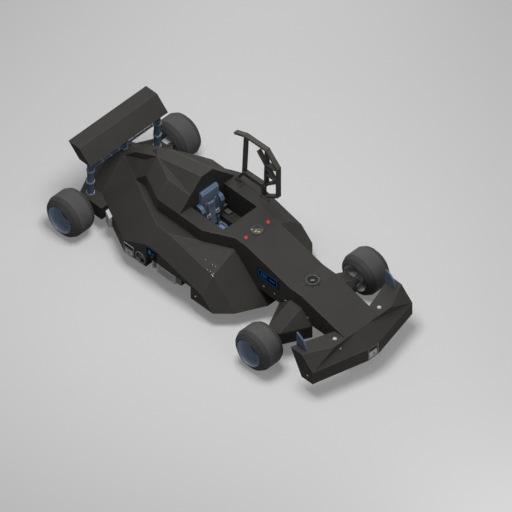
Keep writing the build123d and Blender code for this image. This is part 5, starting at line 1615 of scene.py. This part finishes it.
def makeSteering():
    tilt = math.radians(steering["tilt"])
    pivot, across = np.array(steering["pivot"]), np.array((1.0, 0.0, 0.0))
    axis = np.array((0.0, math.cos(tilt), math.sin(tilt)))
    up = np.cross(across, axis)
    ring, grip, middle = steering["ring"], steering["grip"], steering["middle"]
    angle = np.linspace(0, 2 * math.pi, 20, endpoint=False)
    section = np.stack([middle + grip * 0.95 * np.sin(angle), ring + grip * np.cos(angle)], -1)
    shapes = [turned(section, pivot, axis, "grip", 96, closed=True)]
    # Wound grips at both sides
    hold = np.stack([np.cos(angle), np.sin(angle)], -1) * (grip + 0.0012)
    for side in (0, 180):
        turn = np.radians(np.linspace(side - steering["holdArc"], side + steering["holdArc"], 24))[:, None]
        path = pivot + axis * middle + ring * (np.cos(turn) * across + np.sin(turn) * up)
        shapes.append(carried(hold, path, axis, "black"))
    # The plate in its layers, with its knobs, boss and bolt
    face = roundedSection(*steering["plate"], 4)
    place = (pivot + axis * 0.012, across, -up, axis)
    for wide, high, thick, finish in steering["layers"]:
        shapes.append(slab(face * (wide, high), thick, place, finish))
    for x, y, finish in steering["knobs"]:
        at = place[0] + across * x - up * y + axis * 0.0098
        shapes.append(disc(at, axis, 0.0062, 0.0012, "steel", 18))
        shapes.append(dome(at + axis * 0.001, axis, 0.0045, 0.0030, finish))
    shapes.append(turned(inFrom(steering["boss"], steering["bossSection"]), pivot, axis, "steel", 48))
    shapes += boltHead(pivot - up * 0.0175 + axis * 0.0245, axis, 0.0032, "steel")
    addPiece("steeringWheel", shapes, "steering_wheel", ["steering_wheel"], 35)
    r = steering["column"]
    column = [turned(inFrom(r, steering["columnSection"]), pivot, axis, "steel", 48)]
    for part in boltHead(pivot - axis * 0.028 - up * (r - 0.002), -up, 0.003):
        column.append(around(part, pivot, axis, 4))
    addPiece("steeringColumn", column, "chassis", ["steering_column"], 35)


makeSteering()

# Console on the far ledge: switches, lamps and knobs on two plates; and the trim at the cockpit's edge
cockpit = {
    "consoleLow": (0.304, 0.580, 0.790),
    "consoleHigh": (0.304, 0.695, 0.865),
    "columns": [(-0.024, "yellow"), (0.0, "blue"), (0.024, "grey")],     # across, finish of its lamp
    "switchRows": (-0.030, 0.0),
    "collar": [(0, 0.0068), (0.003, 0.0068), (0.004, 0.0058), (0.004, 0)],
    "lever": [(0.003, 0.0016), (0.014, 0.0022), (0.0155, 0.0018), (0.016, 0)],
    "knobs": (-0.02, 0.02),
    "knob": [(0, 0.013), (0.010, 0.0115), (0.013, 0.010), (0.013, 0)],
    "mouth": [                 # the cockpit's opening: across, along the car
        (-0.375, 0.75), (-0.375, 0.0), (0.375, 0.0), (0.375, 0.75),
    ],
    "mouthHeight": 1.25,
}


def makeConsole():
    up = np.array((0.0, 0.0, 1.0))
    low, high = np.array(cockpit["consoleLow"]), np.array(cockpit["consoleHigh"])
    shapes = [block(*centred(0.080, 0.104, -0.001, 0.0025), 0.001, "greyPlate", 2, placeAt(low)),
              block(*centred(0.080, 0.096, -0.001, 0.0025), 0.001, "grey", 2, placeAt(high))]
    for x, lamp in cockpit["columns"]:
        for y in cockpit["switchRows"]:
            at = low + (x, y, 0.002)
            shapes.append(turned(cockpit["collar"], at, up, "steel", 16))
            shapes.append(turned(cockpit["lever"], at, (0.0, 0.35, 1.0), "bright", 12))
        shapes.append(dome(low + (x, 0.032, 0.002), up, 0.0055, 0.003, lamp))
    for x in cockpit["knobs"]:
        at = high + (x, -0.02, 0.002)
        shapes.append(turned(cockpit["knob"], at, up, "black", 24))
        shapes.append(block((-0.001, 0.0, 0.0125), (0.001, 0.009, 0.0145), 0.0005, "pale", 1, placeAt(at)))
    shapes.append(block((-0.028, 0.012, 0.002), (0.028, 0.034, 0.006), 0.002, "panel", 2, placeAt(high)))
    addPiece("consoleSwitches", shapes, "chassis")
    # The trim runs along three sides of the mouth
    section = roundedSection(0.007, 0.007, 0.0032, 3)
    edges = zip(cockpit["mouth"][:-1], cockpit["mouth"][1:], ((1, 0, 0), (0, 1, 0), (1, 0, 0)))
    trim = [carried(section, rowOf(*np.linspace(start, end, 12).T, cockpit["mouthHeight"]), side, "black")
            for start, end, side in edges]
    addPiece("cockpitTrim", trim, "chassis")


makeConsole()

# Canopy frame: bolts where its bars meet, and nuts on the hinge pins
hatch = {
    "faces": [(0.582, -1), (0.668, 1)],        # across, way out
    "joints": [                # along the car, height, where the bars meet
        (0.718, 2.245), (0.490, 2.335), (0.020, 2.345), (-0.230, 2.095), (-0.230, 1.470), (0.530, 1.510),
        (0.040, 1.530), (0.520, 1.500), (0.094, 1.515),
    ],
    "hinge": (0.585, 1.280),   # across, height
    "nuts": [(-0.0605, -1), (0.128, 1), (0.5865, -1), (0.688, 1)],       # along the car, way out
}


def makeHatchFittings():
    shapes = []
    for y, z in hatch["joints"]:
        for x, way in hatch["faces"]:
            shapes += boltHead((x, y, z), (way, 0, 0), 0.0062, "steel")
    addPiece("frameBolts", shapes, "hatch_frame")
    x, z = hatch["hinge"]
    nuts = []
    for y, way in hatch["nuts"]:
        nuts += boltHead((x, y, z), (0, way, 0), 0.0105, "frameWorn")
    addPiece("hingeNuts", nuts, "chassis")


makeHatchFittings()
print("cockpit and frame fitted")
